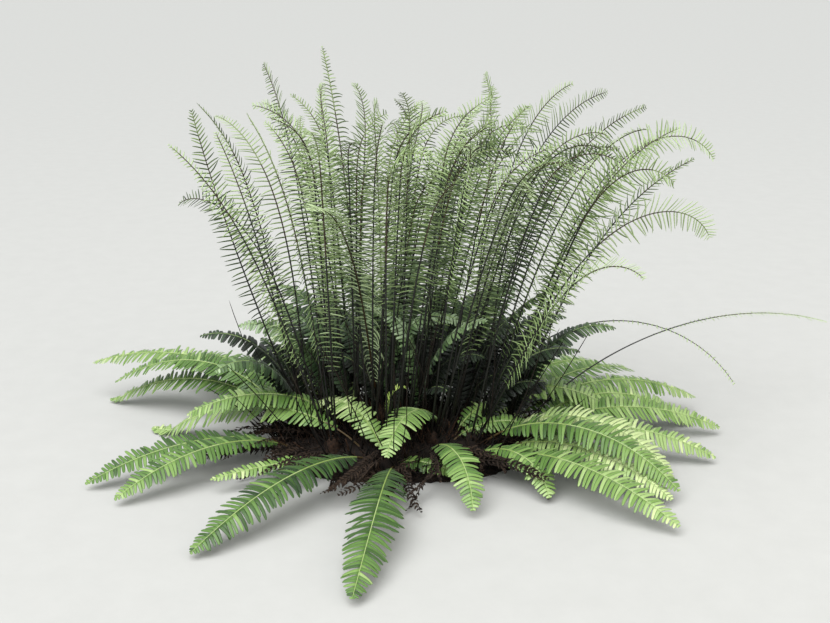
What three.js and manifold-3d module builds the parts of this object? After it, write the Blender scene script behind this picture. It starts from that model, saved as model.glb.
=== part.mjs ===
// Deer fern: a clump of tall, narrow, spore-bearing fronds in a low rosette of broad evergreen fronds.
// All sizes are in millimetres, and +Z is up. The origin is the middle of the flat cut under the rootstock,
// at ground level. Seen from the front of the clump, +X is to the right and +Y is away from the viewer.
//
// The plant is one low rootstock, a spiral of tufts on it, and a rosette of single fronds round them.
// A tuft is a short crown with three tall fronds, and some have one broad frond as well.
// A frond is a slim rib with pointed leaflets along each edge, and is cut back to the rib between them.

import * as THREE from "three";
import { mergeVertices } from "three/addons/utils/BufferGeometryUtils.js";
import Module from "manifold-3d";

const wasm = await Module();
wasm.setup();

// Rootstock: a low mound, wider than deep
const MOUND_HALF_WIDTH = 250;
const MOUND_HALF_DEPTH = 178;
const MOUND_HEIGHT = 45;
const MOUND_SIDES = 22;
const MOUND_RINGS = [1, 0.92, 0.75, 0.48]; // shares of the half width, from the rim inwards
const MOUND_LOBES = 5;
const LOBE_SHARE = 0.035;

// Tufts stand in a spiral over the foot, and the tops of their tall fronds spread over a wider ellipse
const TUFTS = 22;
const GOLDEN_ANGLE = THREE.MathUtils.degToRad(137.50776);
const FOOT_HALF_WIDTH = 204;
const FOOT_HALF_DEPTH = 130;
const TOP_HALF_WIDTH = 470;
const TOP_HALF_DEPTH = 370;
const TOP_SHIFT_X = 80;
const TOP_SHIFT_Y = 15;

// Tall fronds. Each pair is a middle value and how far a frond may be from it
const TALL_IN_TUFT = 3;
const SPLAY_SHARE = 0.16; // how far a tuft's own fronds spread, as a share of the whole top
const OUTER_EXTRA = 36; // fronds at the rim of the foot are longer than those in its middle
const LANKY_EXTRA = 24; // and a few stand out above the rest
const LANKY_SHARE = 0.06;
const WIDEST_REACH = 0.86; // share of a frond's length
const FOOT_LEAN_SHARE = 0.66; // a frond's lean at its foot, as a share of its mean lean
const TALL_HABIT = {
  length: [632, 42],
  bend: [3.2, 0.8], // above 1, a frond is straight at its foot and nods at its tip
  aim: [0, 3],
  sway: [0, 14],
  roll: [0, 60],
  width: [34, 5], // length of the longest leaflets
};

// The tall fronds that can be told apart from the front. Each stands in place of one that the rule gives, by
// its tuft and its place in it, and keeps the numbers that aren't stated here.
const MARKED_TALL = [
  { tuft: 1, place: 1, heading: -112, length: 600, footLean: 15, tipLean: 92, bend: 3.3, sway: 5, roll: 4, width: 42 },
  { tuft: 7, place: 1, heading: 108, length: 746, footLean: 12, tipLean: 36, bend: 3.1, sway: 0 },
  { tuft: 8, place: 0, heading: 67, length: 755, footLean: 21, tipLean: 62, bend: 3.0, sway: 32 },
  { tuft: 8, place: 2, heading: 43, length: 756, footLean: 13, tipLean: 83, bend: 2.8, sway: -10 },
  { tuft: 9, place: 2, heading: 131, length: 702, footLean: 5, tipLean: 94, bend: 3.7, sway: -8 },
  { tuft: 12, place: 0, heading: 119, length: 754, footLean: 14, tipLean: 61, bend: 3.5, sway: -4 },
  { tuft: 12, place: 1, heading: 172, length: 590, footLean: 16, tipLean: 123, bend: 4.1, sway: -28 },
  { tuft: 13, place: 2, heading: -37, length: 705, footLean: 6, tipLean: 111, bend: 4.0, sway: -16 },
  { tuft: 16, place: 0, heading: -52, length: 676, footLean: 9, tipLean: 130, bend: 3.8, sway: -3 },
  { tuft: 16, place: 1, heading: 54, length: 751, footLean: 11, tipLean: 80, bend: 3.0, sway: -10 },
  { tuft: 16, place: 2, heading: 27, length: 740, footLean: 16, tipLean: 79, bend: 2.6, sway: -2 },
  { tuft: 17, place: 0, heading: 180, length: 596, footLean: 12, tipLean: 24, bend: 3.5, sway: -1 },
  { tuft: 17, place: 1, heading: 145, length: 678, footLean: 6, tipLean: 87, bend: 3.8, sway: -8 },
  { tuft: 17, place: 2, heading: 196, length: 647, footLean: 19, tipLean: 12, bend: 2.1, sway: 1 },
  { tuft: 18, place: 0, heading: -31, length: 558, footLean: 26, tipLean: 118, bend: 4.5, sway: -24 },
  { tuft: 18, place: 2, heading: 1, length: 696, footLean: 25, tipLean: 155, bend: 3.9, sway: 19 },
  { tuft: 20, place: 0, heading: 184, length: 642, footLean: 7, tipLean: 32, bend: 3.9, sway: 0 },
  { tuft: 20, place: 2, heading: 188, length: 638, footLean: 18, tipLean: 49, bend: 3.6, sway: -2 },
  { tuft: 21, place: 1, heading: -36, length: 706, footLean: 17, tipLean: 123, bend: 5.0, sway: -22 },
  { tuft: 21, place: 2, heading: 13, length: 804, footLean: 16, tipLean: 149, bend: 3.8, sway: 11 },
];

// Broad fronds among the tall ones, on tufts that aren't near the front
const INNER_SEATS = [0, 1, 14, 3, 4, 16, 6, 19, 8, 9, 17, 11];
const INNER_FOOT_LEAN = 6; // in the middle of the foot
const INNER_RIM_LEAN = 12; // added at its rim
const INNER_HABIT = {
  length: [325, 50],
  tipLean: [100, 25],
  bend: 2,
  aim: [0, 40],
  sway: [0, 12],
  roll: [0, 10],
  width: [32, 4],
};

// A tuft's crown
const CROWN_SIDES = 7;
const CROWN_FOOT_RADIUS = 17;
const CROWN_TOP_RADIUS = 9;
const CROWN_RISE = 24;
const CROWN_ROOT_RING = 6; // the fronds' feet stand this far from the crown's middle

// Fronds
const SINK = 12; // how deep a foot starts inside the mound or crown
const RIB_STEPS = 48;
const GAP_STRIDE = 3; // steps of a rib that are taken together where two ribs are compared
const COMMON_STEPS = 12; // two fronds of one tuft are compared above this step only
const GROUND_REST = 7; // a frond that comes down lies this high along the ground
const LOWEST_TIP = 2;
const CLEAR_OF_MOUND = 0.35;
const RIB_CLEARANCE = 11;
const CROWN_CLEARANCE = 4;
const DODGE_STEP = 2.5; // degrees that a frond is turned by to keep clear of another
const DODGE_TRIES = 17;
const LEAFLET_MARGIN = 0.5;
const LEAFLET_TRIES = [1, 0.8, 0.62, 0.45, 0.3];

const TALL_KIND = {
  lightTurn: 58, // degrees that a blade turns about its rib towards the light, which comes from the front
  stipe: 0.3, // the bare share of the rib
  stipeStations: 3,
  pairs: 8,
  crowding: 1.25, // above 1, leaflets stand closer towards the tip
  peak: 0.48, // where along the blade the leaflets are longest
  rise: 0.36,
  sweep: 10, // degrees that a leaflet leans forward
  lift: 0.16, // how far a leaflet's tip rises out of the blade, as a share of its length
  ribWidth: [5, 1.8],
  ribDepth: [4, 1.6],
};
const BROAD_KIND = {
  lightTurn: 20,
  stipe: 0.13,
  stipeStations: 1,
  pairs: 11,
  crowding: 1.12,
  peak: 0.46,
  rise: 0.5,
  sweep: 10,
  lift: -0.1,
  ribWidth: [5, 1.8],
  ribDepth: [4, 1.6],
};
const INNER_KIND = { ...BROAD_KIND, pairs: 9 };

// The single fronds that can be told apart from the front. A frond's foot is at x, y on the mound. Its
// heading is the way it points, in degrees from +X to +Y. Its leans are in degrees from upright.
const ROSETTE_BEND = 0.7;
const ROSETTE_ROLL = [0, 8];
const ROSETTE = [
  { x: -12, y: -140, heading: -95, length: 470, footLean: 60, tipLean: 111, sway: -6, width: 47 },
  { x: 54, y: -102, heading: -65, length: 258, footLean: 30, tipLean: 135, sway: -23, width: 34 },
  { x: -50, y: -124, heading: -128, length: 450, footLean: 54, tipLean: 117, sway: -7, width: 44 },
  { x: -200, y: -50, heading: -144, length: 385, footLean: 48, tipLean: 118, sway: 2, width: 36 },
  { x: -214, y: -24, heading: -152, length: 405, footLean: 55, tipLean: 113, sway: -2, width: 34 },
  { x: -70, y: -94, heading: 158, length: 510, footLean: 42, tipLean: 135, sway: -4, width: 42 },
  { x: -63, y: 38, heading: 139, length: 414, footLean: 28, tipLean: 144, sway: -1, width: 38 },
  { x: -139, y: 47, heading: 117, length: 505, footLean: 12, tipLean: 158, sway: 68, width: 38 },
  { x: -186, y: 62, heading: 150, length: 560, footLean: 44, tipLean: 111, sway: 18, width: 38 },
  { x: -211, y: 58, heading: 153, length: 486, footLean: 40, tipLean: 126, sway: 14, width: 36 },
  { x: -209, y: 18, heading: 145, length: 490, footLean: 26, tipLean: 124, sway: 30, width: 34 },
  { x: -112, y: 1, heading: 195, length: 335, footLean: 22, tipLean: 119, sway: -9, width: 38 },
  { x: -30, y: -131, heading: 130, length: 251, footLean: 4, tipLean: 122, sway: 8, width: 34 },
  { x: 72, y: -18, heading: -122, length: 265, footLean: 5, tipLean: 133, sway: 22, width: 38 },
  { x: 98, y: -53, heading: 45, length: 245, footLean: 19, tipLean: 145, sway: -29, width: 34 },
  { x: 204, y: 56, heading: 22, length: 455, footLean: 42, tipLean: 118, sway: -16, width: 40 },
  { x: 134, y: 47, heading: 2, length: 440, footLean: 23, tipLean: 153, sway: -15, width: 42 },
  { x: 184, y: -44, heading: -19, length: 385, footLean: 22, tipLean: 138, sway: -12, width: 44 },
  { x: 150, y: -98, heading: -41, length: 430, footLean: 54, tipLean: 114, sway: -4, width: 42 },
  { x: 176, y: -72, heading: -33, length: 375, footLean: 46, tipLean: 120, sway: -5, width: 40 },
  { x: 128, y: -112, heading: -34, length: 230, footLean: 26, tipLean: 134, sway: -46, width: 33 },
  { x: 160, y: -113, heading: 27, length: 195, footLean: 50, tipLean: 124, sway: 11, width: 26 },
  { x: 216, y: -12, heading: 12, length: 440, footLean: 50, tipLean: 116, sway: -12, width: 38 },
  { x: 208, y: -36, heading: -8, length: 405, footLean: 48, tipLean: 118, sway: -2, width: 36 },
  { x: 150, y: -62, heading: -26, length: 425, footLean: 34, tipLean: 128, sway: -14, width: 43 },
  { x: 228, y: 12, heading: 18, length: 420, footLean: 30, tipLean: 132, sway: -22, width: 40 },
];

// The rest of the rosette, on the far side, follows one rule
const FAR_FRONDS = 9;
const FAR_FROM = 32; // degrees
const FAR_STEP = 13.5;
const FAR_SEAT = 1.16; // share of the foot's half sizes
const FAR_HABIT = {
  place: [0, 2],
  aim: [0, 6],
  length: [430, 50],
  footLean: [42, 8],
  tipLean: [114, 6],
  sway: [0, 10],
  width: [37, 4],
};

// Two long fronds that have lost most of their leaflets and trail out to the right
const TRAILING = [
  { x: 221, y: 36, heading: 20, length: 800, footLean: 41, tipLean: 109, bend: 0.83, sway: 2, width: 13 },
  { x: 145, y: 92, heading: 9, length: 635, footLean: 24, tipLean: 140, bend: 1.1, sway: -49, width: 11 },
];
const TRAILING_KIND = { ...TALL_KIND, lightTurn: 0, stipe: 0.4, stipeStations: 3, lift: 0.1 };

const TALL_SEED = 7;
const ROSETTE_SEED = 11;

const degrees = THREE.MathUtils.degToRad;

// Numbers from 0 to 1 that are the same at each run
function seededDraws(seed) {
  let state = seed >>> 0;
  return () => {
    state = (state + 0x6d2b79f5) >>> 0;
    let mixed = Math.imul(state ^ (state >>> 15), state | 1);
    mixed ^= mixed + Math.imul(mixed ^ (mixed >>> 7), mixed | 61);
    return ((mixed ^ (mixed >>> 14)) >>> 0) / 4294967296;
  };
}

const about = (draw, [middle, spread]) => middle + (draw() * 2 - 1) * spread;

function moundHeight(x, y) {
  const q = (x / MOUND_HALF_WIDTH) ** 2 + (y / MOUND_HALF_DEPTH) ** 2;
  return MOUND_HEIGHT * Math.max(0, 1 - q * q);
}

// The way the rib runs, and the ways its left edge and its upper side face, at a share u of its length
function axesAt(frond, u) {
  const lean = degrees(frond.footLean + (frond.tipLean - frond.footLean) * u ** frond.bend);
  const heading = degrees(frond.heading + frond.sway * u * u);
  const along = new THREE.Vector3(
    Math.sin(lean) * Math.cos(heading),
    Math.sin(lean) * Math.sin(heading),
    Math.cos(lean),
  );
  const level = new THREE.Vector3(-Math.sin(heading), Math.cos(heading), 0);
  const roll = frond.roll + frond.kind.lightTurn * Math.cos(heading);
  const left = level.applyAxisAngle(along, degrees(roll));
  return { along, left, up: along.clone().cross(left) };
}

// The rib's points, from foot to tip
function ribLine(frond) {
  const points = [frond.root.clone()];
  for (let k = 0; k < RIB_STEPS; k++) {
    const { along } = axesAt(frond, (k + 0.5) / RIB_STEPS);
    const next = points[k].clone().addScaledVector(along, frond.length / RIB_STEPS);
    if (along.z < 0) next.z = Math.max(next.z, GROUND_REST);
    points.push(next);
  }
  return points;
}

function pointAt(line, u) {
  const place = Math.min(u, 0.999999) * RIB_STEPS;
  const k = Math.floor(place);
  return line[k].clone().lerp(line[k + 1], place - k);
}

// The least distance between the segments ab and cd
function segmentGap(a, b, c, d) {
  const ab = b.clone().sub(a);
  const cd = d.clone().sub(c);
  const ca = a.clone().sub(c);
  const abab = ab.dot(ab);
  const cdcd = cd.dot(cd);
  const abcd = ab.dot(cd);
  const spread = abab * cdcd - abcd * abcd;
  const clamp = THREE.MathUtils.clamp;
  let s = spread > 1e-9 ? clamp((abcd * cd.dot(ca) - cdcd * ab.dot(ca)) / spread, 0, 1) : 0;
  const t = clamp((abcd * s + cd.dot(ca)) / cdcd, 0, 1);
  s = clamp((abcd * t - ab.dot(ca)) / abab, 0, 1);
  return a.clone().addScaledVector(ab, s).distanceTo(c.clone().addScaledVector(cd, t));
}

const inOneTuft = (one, other) => one.tuft !== undefined && one.tuft === other.tuft;

// The least distance between two ribs
function ribGap(one, other) {
  const first = inOneTuft(one, other) ? COMMON_STEPS : 0;
  let least = Infinity;
  for (let i = first; i < RIB_STEPS; i += GAP_STRIDE)
    for (let j = first; j < RIB_STEPS; j += GAP_STRIDE)
      least = Math.min(
        least,
        segmentGap(one.line[i], one.line[i + GAP_STRIDE], other.line[j], other.line[j + GAP_STRIDE]),
      );
  return least;
}

// The least distance from a rib to the crowns that it doesn't grow from, level by level
function crownGap(frond, middles) {
  let least = Infinity;
  middles.forEach((middle, k) => {
    if (k === frond.tuft) return;
    for (const point of frond.line)
      if (point.z < middle.z + CROWN_RISE + CROWN_CLEARANCE)
        least = Math.min(least, Math.hypot(point.x - middle.x, point.y - middle.y) - CROWN_FOOT_RADIUS);
  });
  return least;
}

// Adds a frond, turned by as few steps as keep its rib clear of the crowns and of the fronds that are there
function grow(fronds, middles, frond) {
  let best = null;
  for (let k = 0; k < DODGE_TRIES; k++) {
    const turn = Math.ceil(k / 2) * (k % 2 ? DODGE_STEP : -DODGE_STEP);
    const tried = { ...frond, heading: frond.heading + turn };
    tried.line = ribLine(tried);
    const fromRibs = Math.min(...fronds.map((other) => ribGap(tried, other))) / RIB_CLEARANCE;
    tried.room = Math.min(fromRibs, crownGap(tried, middles) / CROWN_CLEARANCE, 1);
    if (!best || tried.room > best.room) best = tried;
    if (best.room === 1) break;
  }
  fronds.push(best);
}

function tuftMiddle(k) {
  const out = Math.sqrt((k + 0.5) / TUFTS);
  const x = FOOT_HALF_WIDTH * out * Math.cos(k * GOLDEN_ANGLE);
  const y = FOOT_HALF_DEPTH * out * Math.sin(k * GOLDEN_ANGLE);
  return new THREE.Vector3(x, y, moundHeight(x, y));
}

// A tall frond: its foot is on one side of its tuft's crown, and its top leans out to the same side
function tallFrond(draw, middle, side) {
  const discX = middle.x / FOOT_HALF_WIDTH;
  const discY = middle.y / FOOT_HALF_DEPTH;
  const outwards = new THREE.Vector3(Math.cos(side), Math.sin(side), 0);
  const root = outwards.multiplyScalar(CROWN_ROOT_RING).add(middle);
  const topX = TOP_SHIFT_X + TOP_HALF_WIDTH * (discX + SPLAY_SHARE * Math.cos(side));
  const topY = TOP_SHIFT_Y + TOP_HALF_DEPTH * (discY + SPLAY_SHARE * Math.sin(side));
  const lanky = draw() < LANKY_SHARE ? LANKY_EXTRA : 0;
  const length = about(draw, TALL_HABIT.length) + OUTER_EXTRA * Math.hypot(discX, discY) + lanky;
  const reach = Math.min(Math.hypot(topX - root.x, topY - root.y), WIDEST_REACH * length);
  const meanLean = THREE.MathUtils.radToDeg(Math.asin(reach / length));
  const footLean = FOOT_LEAN_SHARE * meanLean;
  const bend = about(draw, TALL_HABIT.bend);
  return {
    kind: TALL_KIND,
    root,
    length,
    footLean,
    tipLean: footLean + (meanLean - footLean) * (bend + 1),
    bend,
    heading: THREE.MathUtils.radToDeg(Math.atan2(topY - root.y, topX - root.x)) + about(draw, TALL_HABIT.aim),
    sway: about(draw, TALL_HABIT.sway),
    roll: about(draw, TALL_HABIT.roll),
    width: about(draw, TALL_HABIT.width),
  };
}

function innerFrond(draw, middle) {
  const discX = middle.x / FOOT_HALF_WIDTH;
  const discY = middle.y / FOOT_HALF_DEPTH;
  return {
    kind: INNER_KIND,
    root: middle.clone(),
    length: about(draw, INNER_HABIT.length),
    footLean: INNER_FOOT_LEAN + INNER_RIM_LEAN * Math.hypot(discX, discY),
    tipLean: about(draw, INNER_HABIT.tipLean),
    bend: INNER_HABIT.bend,
    heading: THREE.MathUtils.radToDeg(Math.atan2(discY, discX)) + about(draw, INNER_HABIT.aim),
    sway: about(draw, INNER_HABIT.sway),
    roll: about(draw, INNER_HABIT.roll),
    width: about(draw, INNER_HABIT.width),
  };
}

// All the fronds of the tufts, in the order that the numbers for them are drawn in
function planTufts(middles) {
  const draw = seededDraws(TALL_SEED);
  return middles.flatMap((middle, tuft) => {
    const turn = draw() * 2 * Math.PI;
    const planned = [];
    for (let place = 0; place < TALL_IN_TUFT; place++) {
      const side = turn + (place * 2 * Math.PI) / TALL_IN_TUFT;
      const marked = MARKED_TALL.find((entry) => entry.tuft === tuft && entry.place === place);
      planned.push({ tuft, ...tallFrond(draw, middle, side), ...marked, isMarked: Boolean(marked) });
    }
    const seat = INNER_SEATS[tuft];
    if (seat !== undefined) planned.push({ tuft: seat, ...innerFrond(draw, middles[seat]), isMarked: false });
    return planned;
  });
}

// The marked fronds come first, so that the others are turned clear of them
function growTufts(fronds, middles) {
  const planned = planTufts(middles);
  for (const frond of planned.filter(({ isMarked }) => isMarked)) grow(fronds, middles, frond);
  for (const frond of planned.filter(({ isMarked }) => !isMarked)) grow(fronds, middles, frond);
}

function farFrond(draw, k) {
  const place = FAR_FROM + k * FAR_STEP + about(draw, FAR_HABIT.place);
  return {
    x: FOOT_HALF_WIDTH * FAR_SEAT * Math.cos(degrees(place)),
    y: FOOT_HALF_DEPTH * FAR_SEAT * Math.sin(degrees(place)),
    heading: place + about(draw, FAR_HABIT.aim),
    length: about(draw, FAR_HABIT.length),
    footLean: about(draw, FAR_HABIT.footLean),
    tipLean: about(draw, FAR_HABIT.tipLean),
    sway: about(draw, FAR_HABIT.sway),
    width: about(draw, FAR_HABIT.width),
  };
}

function growRosette(fronds, middles) {
  const draw = seededDraws(ROSETTE_SEED);
  const seat = (entry, kind) => {
    const root = new THREE.Vector3(entry.x, entry.y, moundHeight(entry.x, entry.y) - SINK);
    grow(fronds, middles, { bend: ROSETTE_BEND, ...entry, kind, root, roll: about(draw, ROSETTE_ROLL) });
  };
  for (const entry of ROSETTE) seat(entry, BROAD_KIND);
  for (const entry of TRAILING) seat(entry, TRAILING_KIND);
  for (let k = 0; k < FAR_FRONDS; k++) seat(farFrond(draw, k), BROAD_KIND);
}

// A closed solid from corners and the triangles between them
function solidFrom(corners, triangles) {
  const mesh = new wasm.Mesh({
    numProp: 3,
    vertProperties: new Float32Array(corners.flatMap((p) => [p.x, p.y, p.z])),
    triVerts: new Uint32Array(triangles.flat()),
  });
  return new wasm.Manifold(mesh);
}

function solidFromGeometry(geometry) {
  const bare = geometry.clone();
  bare.deleteAttribute("normal");
  bare.deleteAttribute("uv");
  const merged = mergeVertices(bare, 1e-4);
  return new wasm.Manifold(
    new wasm.Mesh({
      numProp: 3,
      vertProperties: merged.attributes.position.array,
      triVerts: new Uint32Array(merged.index.array),
    }),
  );
}

function geometryOf(solid) {
  const { vertProperties, triVerts } = solid.getMesh();
  const geometry = new THREE.BufferGeometry();
  geometry.setAttribute("position", new THREE.BufferAttribute(vertProperties, 3));
  geometry.setIndex(new THREE.BufferAttribute(triVerts, 1));
  geometry.computeVertexNormals();
  return geometry;
}

// The share of its full length that a leaflet has at a share v of the blade
function bladeProfile(kind, v) {
  const fall = (kind.rise * (1 - kind.peak)) / kind.peak;
  return (v / kind.peak) ** kind.rise * ((1 - v) / (1 - kind.peak)) ** fall;
}

// Stations along the rib, each with the rib's four corners, and a pair of leaflets between each two
function layOut(frond) {
  const { kind, line } = frond;
  const shares = [];
  for (let k = 0; k < kind.stipeStations; k++) shares.push((kind.stipe * k) / kind.stipeStations);
  for (let k = 0; k <= kind.pairs; k++)
    shares.push(kind.stipe + (1 - kind.stipe) * (1 - (1 - k / kind.pairs) ** kind.crowding));
  frond.stations = shares.map((u) => {
    const { left, up } = axesAt(frond, u);
    const halfWidth = THREE.MathUtils.lerp(kind.ribWidth[0], kind.ribWidth[1], u) / 2;
    const halfDepth = THREE.MathUtils.lerp(kind.ribDepth[0], kind.ribDepth[1], u) / 2;
    const corner = (side, face) =>
      pointAt(line, u)
        .addScaledVector(left, side * halfWidth)
        .addScaledVector(up, face * halfDepth);
    return [corner(1, 1), corner(-1, 1), corner(-1, -1), corner(1, -1)];
  });
  frond.leaflets = [];
  for (let k = 0; k < kind.pairs; k++) {
    const u = (shares[kind.stipeStations + k] + shares[kind.stipeStations + k + 1]) / 2;
    const v = (u - kind.stipe) / (1 - kind.stipe);
    for (const side of [1, -1])
      frond.leaflets.push({
        station: kind.stipeStations + k,
        side,
        u,
        full: frond.width * bladeProfile(kind, v),
      });
  }
}

// Where a leaflet of this length ends
function leafletTip(frond, leaflet, length) {
  const { along, left, up } = axesAt(frond, leaflet.u);
  const sweep = degrees(frond.kind.sweep);
  const tip = pointAt(frond.line, leaflet.u)
    .addScaledVector(left, leaflet.side * length * Math.cos(sweep))
    .addScaledVector(along, length * Math.sin(sweep))
    .addScaledVector(up, length * frond.kind.lift);
  tip.z = Math.max(tip.z, LOWEST_TIP);
  return tip;
}

// A block with eight corners, four at each end, given in the same order round it
const BLOCK_FACES = [
  [0, 3, 2], [0, 2, 1],
  [4, 5, 6], [4, 6, 7],
  [0, 1, 5], [0, 5, 4],
  [1, 2, 6], [1, 6, 5],
  [2, 3, 7], [2, 7, 6],
  [3, 0, 4], [3, 4, 7],
];

function blockBetween(ends) {
  const solid = solidFrom(ends, BLOCK_FACES);
  return { solid, box: new THREE.Box3().setFromPoints(ends) };
}

// The space that a leaflet needs: its own wedge with a margin above, below and past its tip
function leafletSpace(frond, leaflet, length) {
  const { left, up } = axesAt(frond, leaflet.u);
  const near = frond.stations[leaflet.station];
  const far = frond.stations[leaflet.station + 1];
  const tip = leafletTip(frond, leaflet, length + LEAFLET_MARGIN);
  const [top, bottom] = leaflet.side > 0 ? [0, 3] : [1, 2];
  const shifted = (point, amount) => point.clone().addScaledVector(up, amount);
  const along = far[top].clone().sub(near[top]).setLength(2 * LEAFLET_MARGIN);
  const foot = [
    shifted(near[top], LEAFLET_MARGIN),
    shifted(far[top], LEAFLET_MARGIN),
    shifted(far[bottom], -LEAFLET_MARGIN),
    shifted(near[bottom], -LEAFLET_MARGIN),
  ];
  const end = [
    shifted(tip, LEAFLET_MARGIN),
    shifted(tip, LEAFLET_MARGIN).add(along),
    shifted(tip, -LEAFLET_MARGIN).add(along),
    shifted(tip, -LEAFLET_MARGIN),
  ];
  // Seen from the rib outwards, a left leaflet's corners run the other way round from a right one's
  const ends = leaflet.side > 0 ? [...foot, ...end] : [...foot.reverse(), ...end.reverse()];
  return blockBetween(ends);
}

const touches = (one, other) =>
  one.box.intersectsBox(other.box) && !one.solid.intersect(other.solid).isEmpty();

// Each leaflet gets the greatest of a few lengths at which it touches nothing. Where none does, it is
// left out
function fitLeaflets(fronds, obstacles) {
  const taken = [...obstacles];
  for (const frond of fronds)
    for (let k = 0; k + 1 < frond.stations.length; k++)
      taken.push({ ...blockBetween([...frond.stations[k], ...frond.stations[k + 1]]), frond });
  for (const frond of fronds)
    for (const leaflet of frond.leaflets) {
      leaflet.length = 0;
      for (const share of LEAFLET_TRIES) {
        const space = leafletSpace(frond, leaflet, leaflet.full * share);
        if (taken.some((other) => other.frond !== frond && touches(space, other))) continue;
        leaflet.length = leaflet.full * share;
        taken.push({ ...space, frond });
        break;
      }
    }
}

// The rib as one closed mesh, with a pointed leaflet drawn out of its edge wherever there is room for one
function bladeSolid(frond) {
  const corners = frond.stations.flat();
  const triangles = [[0, 3, 2], [0, 2, 1]];
  const last = corners.length - 4;
  const side = (ring, leaflet) => {
    if (!leaflet || !leaflet.length) {
      triangles.push([ring[0], ring[1], ring[2]], [ring[0], ring[2], ring[3]]);
      return;
    }
    const tip = corners.push(leafletTip(frond, leaflet, leaflet.length)) - 1;
    ring.forEach((corner, k) => triangles.push([corner, ring[(k + 1) % 4], tip]));
  };
  for (let k = 0; k < last; k += 4) {
    const at = (sign) => frond.leaflets.find((leaf) => leaf.station * 4 === k && leaf.side === sign);
    const [a, b, c, d] = [k, k + 1, k + 2, k + 3];
    side([a, a + 4, d + 4, d], at(1));
    side([b, c, c + 4, b + 4], at(-1));
    triangles.push([a, b, b + 4], [a, b + 4, a + 4], [d, d + 4, c + 4], [d, c + 4, c]);
  }
  triangles.push([last, last + 1, last + 2], [last, last + 2, last + 3]);
  return solidFrom(corners, triangles);
}

// The mound, grown by a margin on every side where it is used to cut what stands on it
function moundGeometry(margin) {
  const profile = [new THREE.Vector2(0, -margin)];
  for (const share of MOUND_RINGS) {
    const height = share === 1 ? -margin : MOUND_HEIGHT * (1 - share ** 4) + margin;
    profile.push(new THREE.Vector2(share * MOUND_HALF_WIDTH + margin, height));
  }
  profile.push(new THREE.Vector2(0, MOUND_HEIGHT + margin));
  const geometry = new THREE.LatheGeometry(profile, MOUND_SIDES);
  geometry.rotateX(Math.PI / 2);
  geometry.scale(1, MOUND_HALF_DEPTH / MOUND_HALF_WIDTH, 1);
  const place = geometry.attributes.position;
  for (let k = 0; k < place.count; k++) {
    const lobe = 1 + LOBE_SHARE * Math.sin(MOUND_LOBES * Math.atan2(place.getY(k), place.getX(k)));
    place.setXY(k, place.getX(k) * lobe, place.getY(k) * lobe);
  }
  return geometry;
}

function crownSolid(middle) {
  const height = CROWN_RISE + SINK;
  const geometry = new THREE.CylinderGeometry(CROWN_TOP_RADIUS, CROWN_FOOT_RADIUS, height, CROWN_SIDES);
  geometry.rotateX(Math.PI / 2);
  geometry.translate(middle.x, middle.y, middle.z + (CROWN_RISE - SINK) / 2);
  return solidFromGeometry(geometry);
}

function asObstacle(solid) {
  const { min, max } = solid.boundingBox();
  return { solid, box: new THREE.Box3(new THREE.Vector3(...min), new THREE.Vector3(...max)) };
}

// Cuts what stands on the mound clear of it, and drops any scrap that the cut leaves
function seated(solid, cutter) {
  const bodies = solid.subtract(cutter).decompose();
  return bodies.reduce((one, other) => (other.volume() > one.volume() ? other : one));
}

const rootstockFinish = new THREE.MeshStandardMaterial({ color: 0x2b1d16, roughness: 0.95, metalness: 0 });
const tallFinish = new THREE.MeshStandardMaterial({ color: 0x6f8c74, roughness: 0.6, metalness: 0 });
const broadFinish = new THREE.MeshStandardMaterial({ color: 0x5f9150, roughness: 0.5, metalness: 0 });

const fern = new THREE.Group();

function addNode(name, solid, finish) {
  const mesh = new THREE.Mesh(geometryOf(solid), finish);
  mesh.name = name;
  fern.add(mesh);
}

const numbered = (word, k) => `${word}_${String(k + 1).padStart(2, "0")}`;

const fronds = [];
const middles = Array.from({ length: TUFTS }, (unused, k) => tuftMiddle(k));
growTufts(fronds, middles);
growRosette(fronds, middles);
fronds.forEach(layOut);

const mound = solidFromGeometry(moundGeometry(0));
const moundCutter = solidFromGeometry(moundGeometry(CLEAR_OF_MOUND));
const crowns = middles.map(crownSolid);
fitLeaflets(fronds, [moundCutter, ...crowns].map(asObstacle));

addNode("rootstock", mound, rootstockFinish);
crowns.forEach((crown, k) => {
  const blades = fronds.filter((frond) => frond.tuft === k).map(bladeSolid);
  const tuft = blades.reduce((whole, blade) => whole.add(blade), crown);
  addNode(numbered("tuft", k), seated(tuft, moundCutter), tallFinish);
});
const addSingles = (kind, word, finish) =>
  fronds
    .filter((frond) => frond.kind === kind)
    .forEach((frond, k) => addNode(numbered(word, k), seated(bladeSolid(frond), moundCutter), finish));
addSingles(BROAD_KIND, "rosette_frond", broadFinish);
addSingles(TRAILING_KIND, "trailing_frond", tallFinish);

export default fern;
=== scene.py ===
import logging
import math
from dataclasses import dataclass, field, replace
from enum import Enum
from functools import partial
from typing import Callable, ClassVar, Iterable, Sequence

import bmesh
import bpy
import numpy as np
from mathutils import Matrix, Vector, noise


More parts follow.
